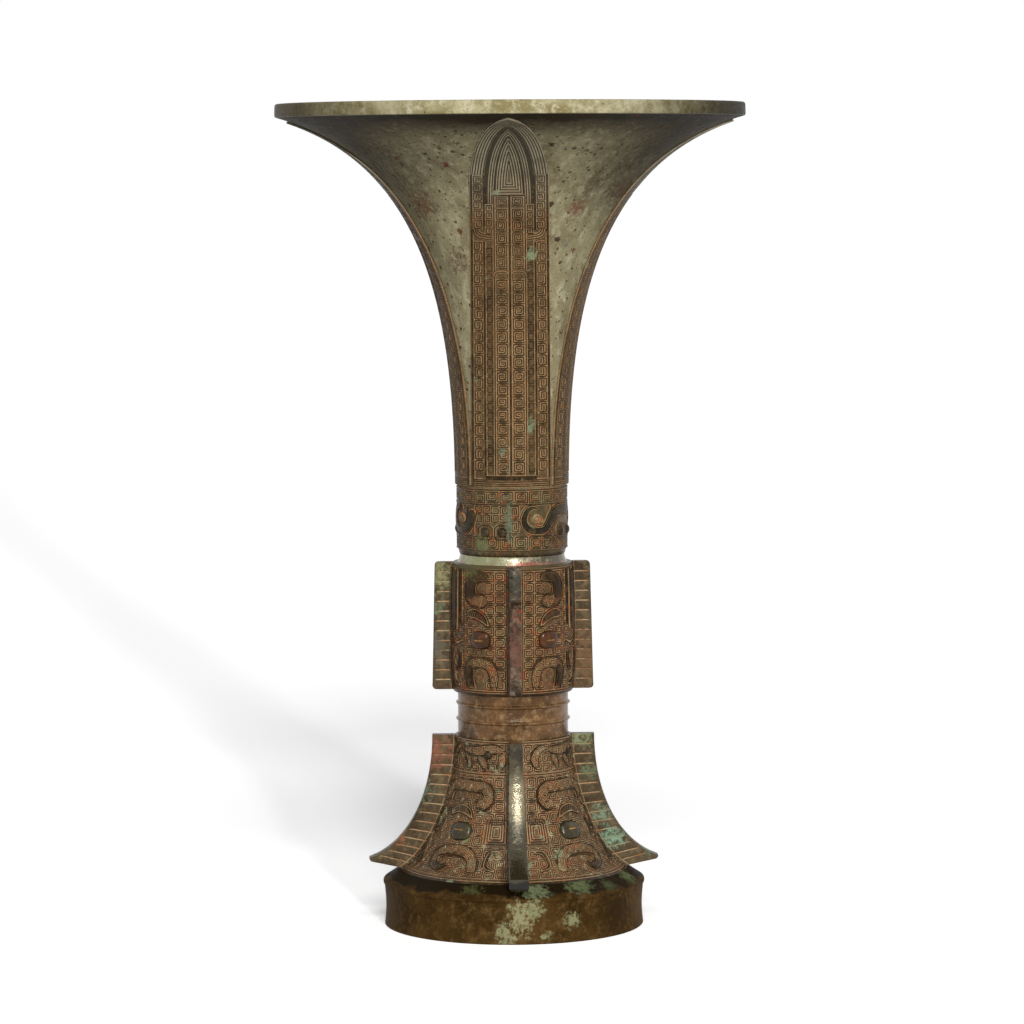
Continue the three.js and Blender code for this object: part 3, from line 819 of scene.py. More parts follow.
lip_finish = old_bronze(
    "lip_bronze", "pale lip bronze", ("#8b8057", "#c0b792", "#dfd8ba"), None,
    flecks=[("#57462a", 1.3, 0.32, False), ("#d9d3bc", 2.4, 0.2, False)],
    # All three dark patches are painted shade on the lip's two ends, which turn away from the light.
    stains_and_shade=[("#322812", -80, 302, 80, 108, 1), ("#1b1407", 76, 302, 80, 116, 1),
            ("#1f170a", 82, 302, 84, 96, 1)],
    gloss=(0.4, 0.6), grain=0.9, metallic=0.03, shine=0.05,
)
blade_finish = old_bronze(
    "blade_bronze", "copper brown blade bronze", ("#221809", "#3f301b", "#665134"),
    ("#977a56", "#9c7751", "#cbb290"),
    flecks=[("#7b7d60", 4.5, 0.3, False), ("#a2633f", 1.7, 0.36, True), ("#a5a083", 3.4, 0.26, True)],
    bands=[("#4e4a3c", 262, 284, 0.6, "metal"), ("#b9b298", 262, 282, 0.8, "earth")],
    stains_and_shade=[("#8f9a78", 11.5, 250, 33, 3.4, 1.4), ("#97a082", -9, 272, 47, 3.4, 0.8),
            ("#7f8c6c", 17, 187, 21, 2.4, 2.0), ("#7c8a70", -12, 178, 20.5, 2.0, 1.4)],
    gloss=(0.36, 0.58),
)
frieze_finish = old_bronze(
    "frieze_bronze", "frieze bronze", ("#1a1408", "#322813", "#5c4d31"), ("#8e7c58", "#956b45", "#baa780"),
    flecks=[("#b8683f", 2.4, 0.5, True), ("#66704e", 3.2, 0.26, False)],
    stains_and_shade=[("#68725a", -5.3, 152, 20.4, 2.1, 6.0), ("#6f7650", -36, 143, 20.3, 4.5, 1.2)],
    gloss=(0.26, 0.5), shine=0.18,
)
groove_finish = old_bronze(
    "groove_bronze", "polished groove bronze", ("#6b6844", "#a39d7b", "#d6d0b3"), None,
    flecks=[("#6f3c26", 2.2, 0.2, False), ("#46361c", 2.0, 0.2, False)],
    stains_and_shade=[("#33270f", 52, 137, 18.6, 19, 1), ("#84875c", -38, 137, 18.6, 12, 1),
            ("#8d3a28", 14, 135.8, 19.4, 9, 0.2)],
    bands=[("#8c3a28", 136.5, 135.7, 0.45, "all")], gloss=(0.2, 0.36), grain=0.6, shine=1.0, metallic=0.4,
)
drum_finish = old_bronze(
    "drum_bronze", "drum bronze", ("#191106", "#312210", "#5a4429"), ("#9a8059", "#a06f4c", "#c2a781"),
    flecks=[("#b2583a", 2.4, 0.48, True), ("#c08259", 4.0, 0.36, True), ("#5f6040", 4.2, 0.24, False)],
    stains_and_shade=[("#8f4331", 4, 135.4, 21.5, 9, 0.2), ("#5d6038", -42, 134.6, 22, 7, 1)],
    bands=[("#564d33", 134.6, 135.5, 0.8, "all")], gloss=(0.26, 0.5), shine=0.16,
)
EYE_EARTH = ("#b9925c", "#8f6a3c", "#c9a673")
eye_finish = old_bronze(
    "eye_bronze", "eye bronze", ("#2a1504", "#4a2709", "#663e19"), EYE_EARTH,
    flecks=[("#3f3f1c", 3.0, 0.32, False)], gloss=(0.16, 0.26), grain=0.3, shine=0.28,
)
olive_eye_finish = old_bronze(
    "eye_bronze", "olive eye bronze", ("#211b0a", "#3c341b", "#59502f"), EYE_EARTH,
    flecks=[("#4f3a1c", 3.0, 0.24, False)], gloss=(0.16, 0.3), grain=0.4, shine=0.3,
)
flange_finish = old_bronze(
    "flange_bronze", "flange bronze", ("#382c1e", "#5a4c36", "#7b6a4f"), ("#b29a78", "#a87a54", "#cdb996"),
    flecks=[("#7a4229", 1.8, 0.18, False), ("#68684a", 4.0, 0.22, False), ("#40484a", 3.6, 0.16, False)],
    stains_and_shade=[
        ("#8f8c64", -90, 131, 28, 9, 1.2), ("#707c5c", -90, 119, 28, 5, 1), ("#635d4e", -90, 104, 28, 8, 1.2),
        ("#74583f", 90, 100, 28, 12, 1.4), ("#7b8f74", 88, 41, 33, 6, 1.0), ("#86a386", 88, 32, 37, 8, 0.8),
        ("#86906c", 88, 69, 25, 6, 1.0), ("#66785a", 88, 57, 28, 4.5, 1.2), ("#5c7458", 90, 26, 50, 5, 0.8),
        ("#8a5541", -90, 65, 29, 10, 1.0), ("#65735c", -90, 50, 34, 7, 1.0), ("#9a5a3c", -88, 34, 44, 6, 1.0),
    ],
    gloss=(0.34, 0.56), grain=0.9,
)
crusted_flange_finish = old_bronze(
    "flange_bronze", "crusted flange bronze", ("#261c12", "#5a4836", "#958673"),
    ("#926f50", "#864f36", "#b89f7e"),
    flecks=[("#a8a092", 1.0, 0.26, False), ("#454c3e", 3.6, 0.3, False), ("#84503a", 2.2, 0.4, False)],
    stains_and_shade=[("#3a3c33", 0, 131, 28, 7, 1.4), ("#6b4638", 0, 105, 28, 9, 1.6), ("#8b3c28", 3, 118, 27, 4, 1.2),
            ("#8d8274", 0, 133.6, 28, 2.4, 0.8)],
    pits=[("#1c150d", 2.4, 0.34)], gloss=(0.3, 0.55), shine=0.16, grain=2.0,
)
worn_flange_with_painted_light = old_bronze(
    "flange_bronze", "worn flange bronze with painted light", ("#241f10", "#3f3720", "#5e543a"),
    ("#7d6a48", "#84603f", "#a08a66"),
    flecks=[("#1b170b", 1.4, 0.3, False), ("#63452a", 2.6, 0.2, False)],
    # The lighter colour from z 63 down to about 45 is a painted highlight where the lamps' reflection falls.
    # The darker band from z 48 down takes it away again. The near-black band below z 24 is painted shade on
    # the underside of the hoof.
    bands=[("#8c8266", 63, 56, 0.8, "all"), ("#352e19", 48, 41, 0.9, "all"),
           ("#0c0904", 23.9, 23.2, 0.95, "all")],
    gloss=(0.16, 0.3), shine=1.0, metallic=0.6,
)
collar_finish = old_bronze(
    "collar_bronze", "collar bronze", ("#402a11", "#775532", "#a6855f"), None,
    flecks=[("#7d3c22", 3.0, 0.26, False), ("#6a6750", 5.0, 0.2, False), ("#2f1e0c", 1.6, 0.2, False)],
    gloss=(0.2, 0.38), grain=0.8, shine=0.25, metallic=0.1,
)
bell_finish = old_bronze(
    "bell_bronze", "foot bronze", ("#1e1609", "#3a2c18", "#645238"), ("#9c8261", "#a67853", "#c8b28d"),
    flecks=[("#b46e46", 2.6, 0.44, True), ("#858c6c", 4.5, 0.38, False), ("#c4bc98", 3.0, 0.4, True)],
    stains_and_shade=[
        ("#aaa480", 9, 55, 27, 4.5, 1.3), ("#a8714c", -11, 65, 24, 3.4, 1.2),
        ("#be7a48", -12, 51, 28, 3.5, 1.2),
        ("#a9a27c", -17, 46, 30, 4, 1.0), ("#a49e7c", 8, 62, 25, 3.6, 1.0), ("#949c78", -13, 40, 32, 4, 1.2),
        ("#9ca37e", 11, 43, 32, 5, 1.0), ("#a6a07b", -13, 31, 37, 5, 1.2), ("#a39a72", 24, 27, 39, 4, 0.8),
    ],
    gloss=(0.3, 0.54), shine=0.15,
)
ring_finish = old_bronze(
    "foot_ring_bronze", "foot ring bronze", ("#33230c", "#513a1b", "#6b5230"), None,
    flecks=[("#2a1c0b", 2.0, 0.14, False)], bands=[("#191105", 17.3, 18.0, 0.95, "metal")],
    stains_and_shade=[
        ("#97946c", 1, 10, 48, 7, 1.5), ("#8f8e68", -6, 4, 48, 6, 1.0), ("#8c8c66", 7, 13, 48, 5, 1.2),
        ("#8c8c66", 24, 8, 48, 5, 0.9), ("#8a8a64", 12, 3, 48, 3.4, 0.9), ("#767e5c", 8, 19, 45, 8, 0.6),
        ("#69734f", 31, 20, 44, 9, 0.6), ("#5f6746", 47, 18.5, 46, 6, 0.6), ("#69734f", 68, 19.5, 45, 7, 0.6),
        ("#50502f", -22, 19, 45, 6, 0.5), ("#2a1d0a", 49, 8, 48, 20, 1.0),
    ],
    gloss=(0.55, 0.75), grain=0.5, shine=0.04, metallic=0.0,
)


# Turned walls

CORNER_TURNS = np.linspace(0, QUARTER, 6)
ring_inner = RING_RADIUS - RING_WALL
bore_radius = NECK_RADIUS - NECK_WALL

ring_outer = [(RING_RADIUS, RING_EDGE)]
for share in np.linspace(0, 1, 13)[1:-1]:
    level = RING_EDGE + share * (BEAD_LEVEL - 1.9)
    ring_outer.append((RING_RADIUS - RING_WAIST * math.sin(math.pi * share), level))
for turn in np.linspace(-QUARTER, QUARTER, 9):
    ring_outer.append((RING_RADIUS + BEAD_PROUD * math.cos(turn), BEAD_LEVEL + 0.1 + 0.85 * math.sin(turn)))
ring_outer += [(BELL_FOOT_RADIUS + 0.25, BELL_LOW - 0.12), (BELL_FOOT_RADIUS, BELL_LOW)]
bell_bore = level_cut(beside(bell_outline, -BELL_WALL), BELL_LOW, BELL_HIGH)
ring_bore = [
    (bell_bore[0][0], BELL_LOW), (ring_inner, BEAD_LEVEL - RING_WALL), (ring_inner, 0.3),
    (ring_inner + 0.3, 0), (RING_RADIUS - RING_EDGE, 0),
]
cast("foot_ring", spun(ring_outer + ring_bore), ring_finish)
bell_dust = (BELL_LOW + 0.9, BELL_HIGH - 0.8, 0)
cast("foot_bell", spun([*bell_outline, *bell_bore[::-1]], bell_dust), bell_finish)

collar_outer = [(COLLAR_RADIUS, BELL_HIGH)]
for middle in RIDGE_LEVELS:
    for share in np.linspace(-1, 1, 13):
        proud = RIDGE_PROUD * math.cos(QUARTER * share) ** 1.5
        collar_outer.append((COLLAR_RADIUS + proud, middle + share * RIDGE_HEIGHT / 2))
collar_outer = [p for p in collar_outer if p[1] < FLOOR_LOW - 0.01] + [(COLLAR_RADIUS, FLOOR_LOW)]
collar_bore = [(COLLAR_RADIUS - COLLAR_WALL, level) for level in (FLOOR_LOW, BELL_HIGH)]
cast("waist_collar", spun(collar_outer + collar_bore), collar_finish)

disc = started()
bmesh.ops.create_cone(
    disc, cap_ends=True, segments=TURNED_STEPS, radius1=COLLAR_RADIUS * MM, radius2=COLLAR_RADIUS * MM,
    depth=(DRUM_LOW - FLOOR_LOW) * MM,
)
bmesh.ops.translate(disc, verts=disc.verts, vec=(0, 0, (DRUM_LOW + FLOOR_LOW) / 2 * MM))
cast("vessel_floor", disc, collar_finish)

drum_corner = [
    (DRUM_RADIUS - DRUM_EDGE * (1 - math.sin(t)), DRUM_LOW + DRUM_EDGE * (1 - math.cos(t)))
    for t in CORNER_TURNS[:-1]
]
drum_top = [
    (DRUM_RADIUS - 0.5 * DRUM_EDGE * (1 - math.cos(t)), GROOVE_LOW - DRUM_EDGE * (1 - math.sin(t)))
    for t in CORNER_TURNS[1:]
]
drum_bore = DRUM_RADIUS - DRUM_WALL
drum_profile = [
    *drum_corner, *drum_rise, *drum_top,
    (bore_radius, GROOVE_LOW), (drum_bore, GROOVE_LOW - DRUM_WALL), (drum_bore, DRUM_LOW),
]
drum_dust = (DRUM_LOW + 1.6, GROOVE_LOW - 1.2, DRUM_RADIUS - 0.5)
cast("mask_drum", spun(drum_profile, drum_dust), drum_finish)

groove_outer = [
    (GROOVE_RADIUS + GROOVE_FLARE * share**1.5, FRIEZE_LOW - (FRIEZE_LOW - GROOVE_LOW) * share)
    for share in np.linspace(1, 0, 13)
]
groove_bore = [(bore_radius, FRIEZE_LOW), (bore_radius, GROOVE_LOW)]
cast("neck_groove", spun(groove_outer + groove_bore), groove_finish)

frieze_profile = [
    (GROOVE_RADIUS, FRIEZE_LOW), (NECK_RADIUS - FRIEZE_CHAMFER[1], FRIEZE_LOW + 0.3),
    (NECK_RADIUS - 0.3, FRIEZE_LOW + 0.75 * FRIEZE_CHAMFER[0]), (NECK_RADIUS, FRIEZE_LOW + FRIEZE_CHAMFER[0]),
    (NECK_RADIUS, TRUMPET_LOW), (bore_radius, TRUMPET_LOW), (bore_radius, FRIEZE_LOW),
]
frieze_dust = (FRIEZE_LOW + 1.2, TRUMPET_LOW + 1, NECK_RADIUS - 0.5)
cast("frieze_band", spun(frieze_profile, frieze_dust), frieze_finish)

bore_mouth = (MOUTH_RADIUS - LIP_ROUND - LIP_FLAT, MOUTH_LEVEL)
bore_outline = flare((bore_radius, TRUMPET_LOW), bore_mouth, BORE_PULLS, BORE_SLOPE, 96)
bore_in_trumpet = level_cut(bore_outline, TRUMPET_LOW, LIP_LOW)
bore_in_lip = level_cut(bore_outline, LIP_LOW, MOUTH_LEVEL)
cast("trumpet_neck", spun([*trumpet_outline, *bore_in_trumpet[::-1]]), trumpet_finish)
lip_profile = [
    (MOUTH_RADIUS - LIP_OVERHANG, LIP_LOW), (MOUTH_RADIUS - 0.15, LIP_LOW + 0.25),
    (MOUTH_RADIUS, LIP_LOW + 0.8), (MOUTH_RADIUS - 0.1, MOUTH_LEVEL - 0.9),
    (MOUTH_RADIUS - 0.25, MOUTH_LEVEL - 0.35), (MOUTH_RADIUS - LIP_ROUND, MOUTH_LEVEL), *bore_in_lip[::-1],
]
cast("mouth_lip", spun(lip_profile), lip_finish)


# Flanges

FIN_SHARES = (0.0, 0.0, 0.09, 0.125, 0.16, 0.25, 0.4, 0.55, 0.7, 0.85, 1.0)
FIN_LINE = 3
FIN_NOSE_STEPS = 5
FIN_NOSE = 0.75
FRONT_HOOF = 3.5
SCORE_DEPTH = 0.44
SCORE_SHAPE = ((-1.5, 0.0), (-0.8, 0.1), (-0.3, 1.0), (0.3, 1.0), (0.8, 0.1), (1.5, 0.0))
SCORE_HALF = 0.46


def fin(stations, azimuth, chip=None):
    """Scored fin: stations are (root, edge, thickness, pinch), points in the plane of radius and level."""
    roots, edges, thickness, pinch = (np.array(part, float) for part in zip(*stations))
    count = len(FIN_SHARES) + FIN_NOSE_STEPS - 1
    shares = np.array([*FIN_SHARES, *[1.0] * FIN_NOSE_STEPS])
    nose = np.linspace(0, QUARTER, FIN_NOSE_STEPS + 1)[1:]
    turns = np.array([*[0.0] * len(FIN_SHARES), *nose])
    facing = math.radians(azimuth)

    def bend(across, along):
        row = np.rint(along * (len(stations) - 1)).astype(int)
        k = np.rint(across * 2 * count).astype(int)
        side = np.where(k <= count, 1, -1)
        k = np.where(k <= count, k, 2 * count - k)
        root, reach = roots[row], edges[row] - roots[row]
        length = np.hypot(*reach.T)
        half = thickness[row] / 2 - pinch[row] * np.clip((1.04 - shares[k]) / 0.1, 0, 1)
        out = shares[k] * (length - FIN_NOSE) + FIN_NOSE * np.sin(turns[k])
        y = half - FIN_NOSE * (1 - np.cos(turns[k])) - np.where(k == FIN_LINE, 0.3, 0)
        y = np.where((k == 0) | (k == count), 0, y)
        if chip:
            out = out - chip(root[:, 1] + out / length * reach[:, 1], side * y, out / length) * (k > FIN_LINE)
        x, z = (root + reach * (out / length)[:, None]).T
        y = side * y
        places = [x * math.sin(facing) + y * math.cos(facing), y * math.sin(facing) - x * math.cos(facing), z]
        earthy = ((pinch[row] > 0.2) & (shares[k] < 0.95)) | (k == FIN_LINE)
        return np.column_stack(places), np.where(earthy, 1.0, 0.0)

    bm = started()
    lattice(bm, 2 * count, len(stations) - 1, bend)
    return bm


def score_stations(scores, length):
    """Shares along a fin where its scores lie, with the pinch at each, and plain stations between."""
    marks = [(0.0, 0.0)]
    for i in range(1, scores + 1):
        middle = i / (scores + 1)
        marks += [(middle + step * SCORE_HALF / length, depth * SCORE_DEPTH) for step, depth in SCORE_SHAPE]
        marks.append((middle + 0.5 / (scores + 1), 0.0))
    return marks[:-1] + [(1.0, 0.0)]


def drum_stations():
    """Stations of a drum flange from its top down, with both corners rounded."""
    corner, top_reach = DRUM_FLANGE_CORNER, DRUM_FLANGE_REACH - DRUM_FLANGE_LEAN
    low = DRUM_LOW + DRUM_FLANGE_FOOT
    length = GROOVE_LOW - low
    rounding = [(corner * (1 - math.cos(t)), corner * (1 - math.sin(t))) for t in CORNER_TURNS]
    rows = [(GROOVE_LOW - down, top_reach - inset, 0.0) for down, inset in rounding]
    for share, pinch in score_stations(DRUM_FLANGE_SCORES, length):
        level = GROOVE_LOW - share * length
        if low + corner < level < GROOVE_LOW - corner:
            rows.append((level, top_reach + DRUM_FLANGE_LEAN * share, pinch))
    rows += [(low + up, DRUM_FLANGE_REACH - inset, 0.0) for up, inset in rounding[::-1]]
    seat = [drum.radius_at(z) - FLANGE_SEAT for z, _, _ in rows]
    return [((x, z), (out, z), FLANGE_THICKNESS, pinch) for x, (z, out, pinch) in zip(seat, rows)]


def foot_stations(hoof):
    """Stations of a foot flange from its top to its tip, and of the hoof under the front one."""
    tip_x, tip_z = tip = (FOOT_TIP_REACH, FOOT_TIP_LEVEL)
    curve = flare((FOOT_TOP_REACH, BELL_HIGH), tip, FOOT_FLANGE_PULLS, FOOT_FLANGE_SLOPE, 200)
    run, falls = run_along(curve), heading(curve)[:, 0]
    rows = []
    for share, pinch in score_stations(FOOT_FLANGE_SCORES, run[-1]):
        x, z, fall = (np.interp(share * run[-1], run, column) for column in (*curve.T, falls))
        root = [x, z]
        for _ in range(5):
            root[0] = float(bell.radius_at(root[1])) - FLANGE_SEAT
            root[1] = z - FOOT_SCORE_TILT * fall * (x - root[0])
        thickness = np.interp(z, (tip_z, BELL_HIGH), (FOOT_TIP_THICKNESS, FLANGE_THICKNESS))
        rows.append((root, (x, z), thickness, pinch))
    lower = (BELL_FOOT_RADIUS - FLANGE_SEAT, BELL_LOW + FOOT_UNDERSIDE)
    rows.append((lower, (tip_x - 0.15, tip_z - 0.45 * FOOT_TIP_HEIGHT), FOOT_TIP_THICKNESS, 0.0))
    if hoof:
        rows.append((lower, (tip_x - 0.6, tip_z - FOOT_TIP_HEIGHT - 0.7 * hoof), FOOT_TIP_THICKNESS, 0.0))
    under = (tip_x - FOOT_TIP_HEIGHT / 2 - 0.4 * hoof, tip_z - FOOT_TIP_HEIGHT - hoof)
    return [*rows, (lower, under, FOOT_TIP_THICKNESS - 1, 0.0)]


def drum_front_chip(level, y, share):
    """Broken notch in the front flange."""
    near = np.exp(-(((level - 121.9 + 0.35 * y) / 1.0) ** 4)) * np.where(y > -0.6, 1.0, 0.3)
    crack = np.exp(-(((level - 119.6 - 0.6 * y) / 0.45) ** 2)) * 0.5
    return (3.0 * near + crack) * np.maximum(0.0, (share - 0.35) / 0.65)


front = (drum_front_chip, crusted_flange_finish, FRONT_HOOF, worn_flange_with_painted_light)
for i, quarter in enumerate(QUARTERS):
    chip, drum_metal, hoof, foot_metal = (None, flange_finish, 0.0, flange_finish) if i else front
    cast(f"drum_flange_{quarter}", fin(drum_stations(), 90 * i, chip), drum_metal)
    cast(f"foot_flange_{quarter}", fin(foot_stations(hoof), 90 * i), foot_metal)


# Plantain blades

BLADE_ROWS = 150
BLADE_COLUMNS = 24
ARCH_FOOT = 279.6
ARCH_MIDDLE = (BLADE_SHOULDER + BLADE_TIP) / 2
blade_arch = bezier(
    (BLADE_HALF, BLADE_SHOULDER), (BLADE_HALF, ARCH_MIDDLE), (BLADE_HALF * 0.84, BLADE_TIP - 1.8),
    (0, BLADE_TIP), 60,
)
# Spirals on each side of a blade: inner and outer edge, low and high level, height of a tile, pitch, land
FINE_FRETS = (
    (9.55, 12.95, 170.3, 255.2, 4.3), (9.55, 12.95, 259.6, 279.2, 4.3), (0.72, 5.05, 169.2, 241.2, 4.9),
    (0.72, 5.05, 244.8, 267.2, 4.6),
)
WORN_FRETS = (6.0, 8.6, 169.8, 253.0, 3.2, 0.8, 0.5)
UPPER_FRETS = ((6.0, 8.6, 257.6, 268.6, 3.6, 0.8, 0.58), (0.72, 5.05, 267.8, 271.4, 3.6))
# Straight lines up each side of a blade: distance from its middle, low and high level, pieces
FINE_UPRIGHTS = ((5.53, 169.0, 241.6, 40), (5.53, 244.4, 271.4, 20))
WIDE_UPRIGHTS = (
    (9.08, 169.0, 255.0, 40), (9.08, 259.4, 279.2, 20), (13.48, BLADE_LOW + 0.6, ARCH_FOOT, 50),
)
MIDDLE_UPRIGHT = (0.0, 169.0, 271.6, 50)
CAP = ((5.5, 241.9), (5.0, 243.3), (3.6, 243.8), (1.5, 243.6), (0.8, 242.3))
FOOT_LINES = (0.5, 1.26, 2.02, 2.78)
HOOK_STEPS = (0.0, 0.76, 1.52)
ARCH_INSETS = (0.45, 1.43, 2.41, 3.39, 4.37)
HEART_FOOT = 268.9
HEART_INSETS = (6.95, 7.85)
NEST_PITCH = 0.95


def blade_half(level):
    """Half width of a blade at a level: straight, then a pointed arch."""
    return np.where(level <= BLADE_SHOULDER, BLADE_HALF, np.interp(level, blade_arch[:, 1], blade_arch[:, 0]))


def blade_skin(bm, leaf):
    """Raised field of a blade: a closed skin from under the wall's face up to its own face."""
    low, high = (leaf.flat(0, level)[1] for level in (BLADE_LOW, BLADE_TIP))
    last = BLADE_COLUMNS + 4

    def bend(across, along):
        run = low + (high - low) * along
        half = blade_half(np.interp(run, leaf.run, leaf.level))
        k = np.rint(across * last).astype(int)
        share = np.clip((k - 2) / BLADE_COLUMNS, 0, 1) * 2 - 1
        edge = (k <= 1) | (k >= last - 1)
        x = np.where((k == 0) | (k == last), 0, share) * half
        inset = np.where(edge, 0, np.minimum(0.15, half))
        x = np.sign(x) * np.maximum(np.abs(x) - inset, 0)
        lift = np.where(edge, -BLADE_RELIEF - 0.2, 0.0)
        return leaf.wrap(np.column_stack([x, run, lift])), np.where(edge, 0.0, DUST)

    lattice(bm, last, BLADE_ROWS, bend)


def inset_arch(leaf, inset, foot):
    """Line beside the arched edge of a blade, a set distance inside it, up one side and down the other."""
    levels = np.linspace(foot, BLADE_TIP, 70)
    side = beside(np.column_stack([blade_half(levels), np.interp(levels, leaf.level, leaf.run)]), -inset)
    side = side[: np.argmax(side[:, 0] < 0) or len(side)]
    side = side[side[:, 0] > 0]
    run = run_along(side)
    side = np.column_stack([np.interp(np.linspace(0, run[-1], 25), run, column) for column in side.T])
    (x0, y0), (x1, y1) = side[-2:]
    apex = (0, y1 + x1 * (y1 - y0) / (x0 - x1), 1)
    return [*[(-x, y, 1) for x, y in side], apex, *[(x, y, 1) for x, y in side[::-1]]]


def column_tiles(leaf, side, inner, outer, low, high, tall, pitch=GROUND_PITCH, land=GROUND_LAND):
    """Square spirals stacked between two levels on one side of a blade."""
    y0, y1 = leaf.flat(0, low)[1], leaf.flat(0, high)[1]
    count = max(1, round((y1 - y0) / tall))
    step = (y1 - y0) / count
    x, gap = side * (inner + outer) / 2, pitch - land
    size = (outer - inner - gap, step - gap)
    heights = y0 + (np.arange(count) + 0.5) * step
    return [spiral_tile(x, y, *size, 1, carver.choice(range(4)), pitch, land) for y in heights]


def upright(leaf, x, low, high, pieces):
    """Straight line up a blade."""
    return [(x, leaf.flat(0, z)[1], 1) for z in np.linspace(low, high, pieces + 1)]


def across_line(leaf, level, half, strength=1):
    """Level line across a blade."""
    return [(x, leaf.flat(0, level)[1], strength) for x in np.linspace(-half, half, 17)]


def round_line(leaf, side, points):
    """Smooth line through points (distance from the middle, level) on one side of a blade."""
    return [(*leaf.flat(x, z), 1) for x, z in through([(side * x, z) for x, z in points], 4)]


def blade_lines(leaf):
    """Fine, wide, broad and worn lines of one blade."""
    fine, wide, broad, worn = [], [], [], []
    for side in (-1, 1):
        for frets in FINE_FRETS:
            fine += column_tiles(leaf, side, *frets)
        worn += column_tiles(leaf, side, *WORN_FRETS)
        for frets in UPPER_FRETS:
            fine += column_tiles(leaf, side, *frets)
        for lines, uprights in ((fine, FINE_UPRIGHTS), (wide, WIDE_UPRIGHTS)):
            lines += [upright(leaf, side * x, *rest) for x, *rest in uprights]
        for bend in HOOK_STEPS:
            hook = [(12.9 - bend, 259.6), (12.5 - bend, 257.9 + 0.5 * bend),
                    (11.3 - bend, 256.6 + 0.8 * bend), (8.9 - bend, 256.0 + bend), (6.1, 255.7 + bend)]
            fine.append(round_line(leaf, side, hook))
        fine.append(round_line(leaf, side, CAP))
    fine += [inset_arch(leaf, inset, ARCH_FOOT) for inset in ARCH_INSETS]
    fine += [inset_arch(leaf, inset, HEART_FOOT) for inset in HEART_INSETS]
    for rise in NEST_PITCH * np.arange(4):
        fine += [inset_arch(leaf, 9.8 + rise, 273.1 + rise), across_line(leaf, 273.1 + rise, 4.2 - rise)]
    fine += [across_line(leaf, BLADE_LOW + rise, 13.0) for rise in FOOT_LINES]
    wide += [inset_arch(leaf, 8.8, 272.6), across_line(leaf, 271.9, 5.7), upright(leaf, *MIDDLE_UPRIGHT)]
    broad += [inset_arch(leaf, 5.55, HEART_FOOT), across_line(leaf, 168.1, 9.0, 0.8)]
    return fine, wide, broad, worn


for i, quarter in enumerate(QUARTERS):
    leaf = Leaf(trumpet_outline, i * QUARTER + math.radians(BLADE_TURN), BLADE_RELIEF - 0.3)
    blade = started()
    blade_skin(blade, leaf)
    fine, wide, broad, worn = blade_lines(leaf)
    for paths, width, height in ((fine, GROUND_LAND, 0.28), (wide, 0.85, 0.31), (broad, 1.7, 0.3)):
        lands(blade, leaf, paths, width, height)
    lands(blade, leaf, worn, 0.5, 0.16, packed=False)
    cast(f"plantain_blade_{quarter}", blade, blade_finish)


# Frieze

VOLUTE = [(27, 148.3), (18, 148.5), (12.2, 150.2), (10.4, 152.8), (14.0, 155.8), (21, 156.9), (27.5, 156.2)]
VOLUTE_WIDTHS = [3.6, 3.5, 3.4, 3.2, 2.9, 2.1, 0.9]
LONG_TAIL = [(76, 155.4), (60, 155.6), (47.5, 154.9), (40.5, 151.6), (34.5, 148.9)]
SHORT_TAIL = [(44, 156.4), (42.6, 154.4), (40.5, 151.6), (34.5, 148.9)]
TAIL_WIDTHS = [4.6, 4.8, 4.8, 4.1, 3.7]
HEART = [(19.5, 153.6), (25, 152.9), (31.5, 151.6)]
HEART_WIDTHS = [2.4, 3.2, 1.8]
QUARTER_TURNS = (0, 90, 180, 270)
FRIEZE_RINGS = (140.3, 158.1, 163.5)
SEAM_AZIMUTH = -5.2
SEAM_LEVELS = (140.9, 150, 158.0)
BOSS_FRAME = (2.75, 2.6)
BOSS_WIDTH = 3.7
SCROLL_HEIGHT = 0.85


def volute(bm, middle, tail):
    """Wide scroll of the frieze: a smooth band that sweeps under and round an oval heart."""
    carved_band(bm, frieze, middle, 1, tail + VOLUTE, TAIL_WIDTHS[-len(tail):] + VOLUTE_WIDTHS, SCROLL_HEIGHT)
    band(bm, frieze, middle, 1, HEART, HEART_WIDTHS, 0.55, fill=1.0)


def fret_patch(wall, left, right, low, high, columns, rows):
    """Block of square spirals between two azimuths and two levels."""
    gap = GROUND_PITCH - GROUND_LAND
    x0, x1 = (wall.flat(azimuth, low)[0] for azimuth in (left, right))
    levels = [low + (high - low) * row / rows for row in range(rows + 1)]
    paths = []
    for y0, y1 in itertools.pairwise(wall.flat(0, level)[1] for level in levels):
        scale = float(wall.scale((y0 + y1) / 2))
        size = ((x1 - x0) * scale / columns - gap, (y1 - y0) * scale - gap)
        for column in range(columns):
            x = x0 + (column + 0.5) * (x1 - x0) / columns
            paths.append(spiral_tile(x, (y0 + y1) / 2, *size, 1 / scale, carver.choice(range(8))))
    return paths


def frieze_lines():
    """Fine and wide lines of the frieze."""
    fine = fret_field(frieze, 158.4, 163.1, 1, 5.2, 0.2) + fret_field(frieze, 141.3, 146.6, 1, 5.0, 0.2)
    wide = [ring_line(frieze, level) for level in FRIEZE_RINGS]
    for turn in QUARTER_TURNS:
        for azimuth in BOSS_AZIMUTHS:
            wide.append(frame_line(*frieze.flat(turn + azimuth, BOSS_LEVEL), *BOSS_FRAME, 1.0))
        if turn % 180 == 0:
            fine += fret_patch(frieze, turn - 43.5, turn - 5.8, 151.4, 157.8, 4, 2)
        fine += fret_patch(frieze, turn - 5.0, turn + 6.0, 147.2, 157.9, 1, 2)
        fine += fret_patch(frieze, turn + 41.5, turn + 45.5, 147.2, 157.9, 1, 2)
        seam = frieze.flat(turn + SEAM_AZIMUTH, 0)[0]
        for shift in (-0.45, 0.45):
            wide.append([(seam + shift, frieze.flat(0, z)[1], 0.6) for z in SEAM_LEVELS])
    return fine, wide


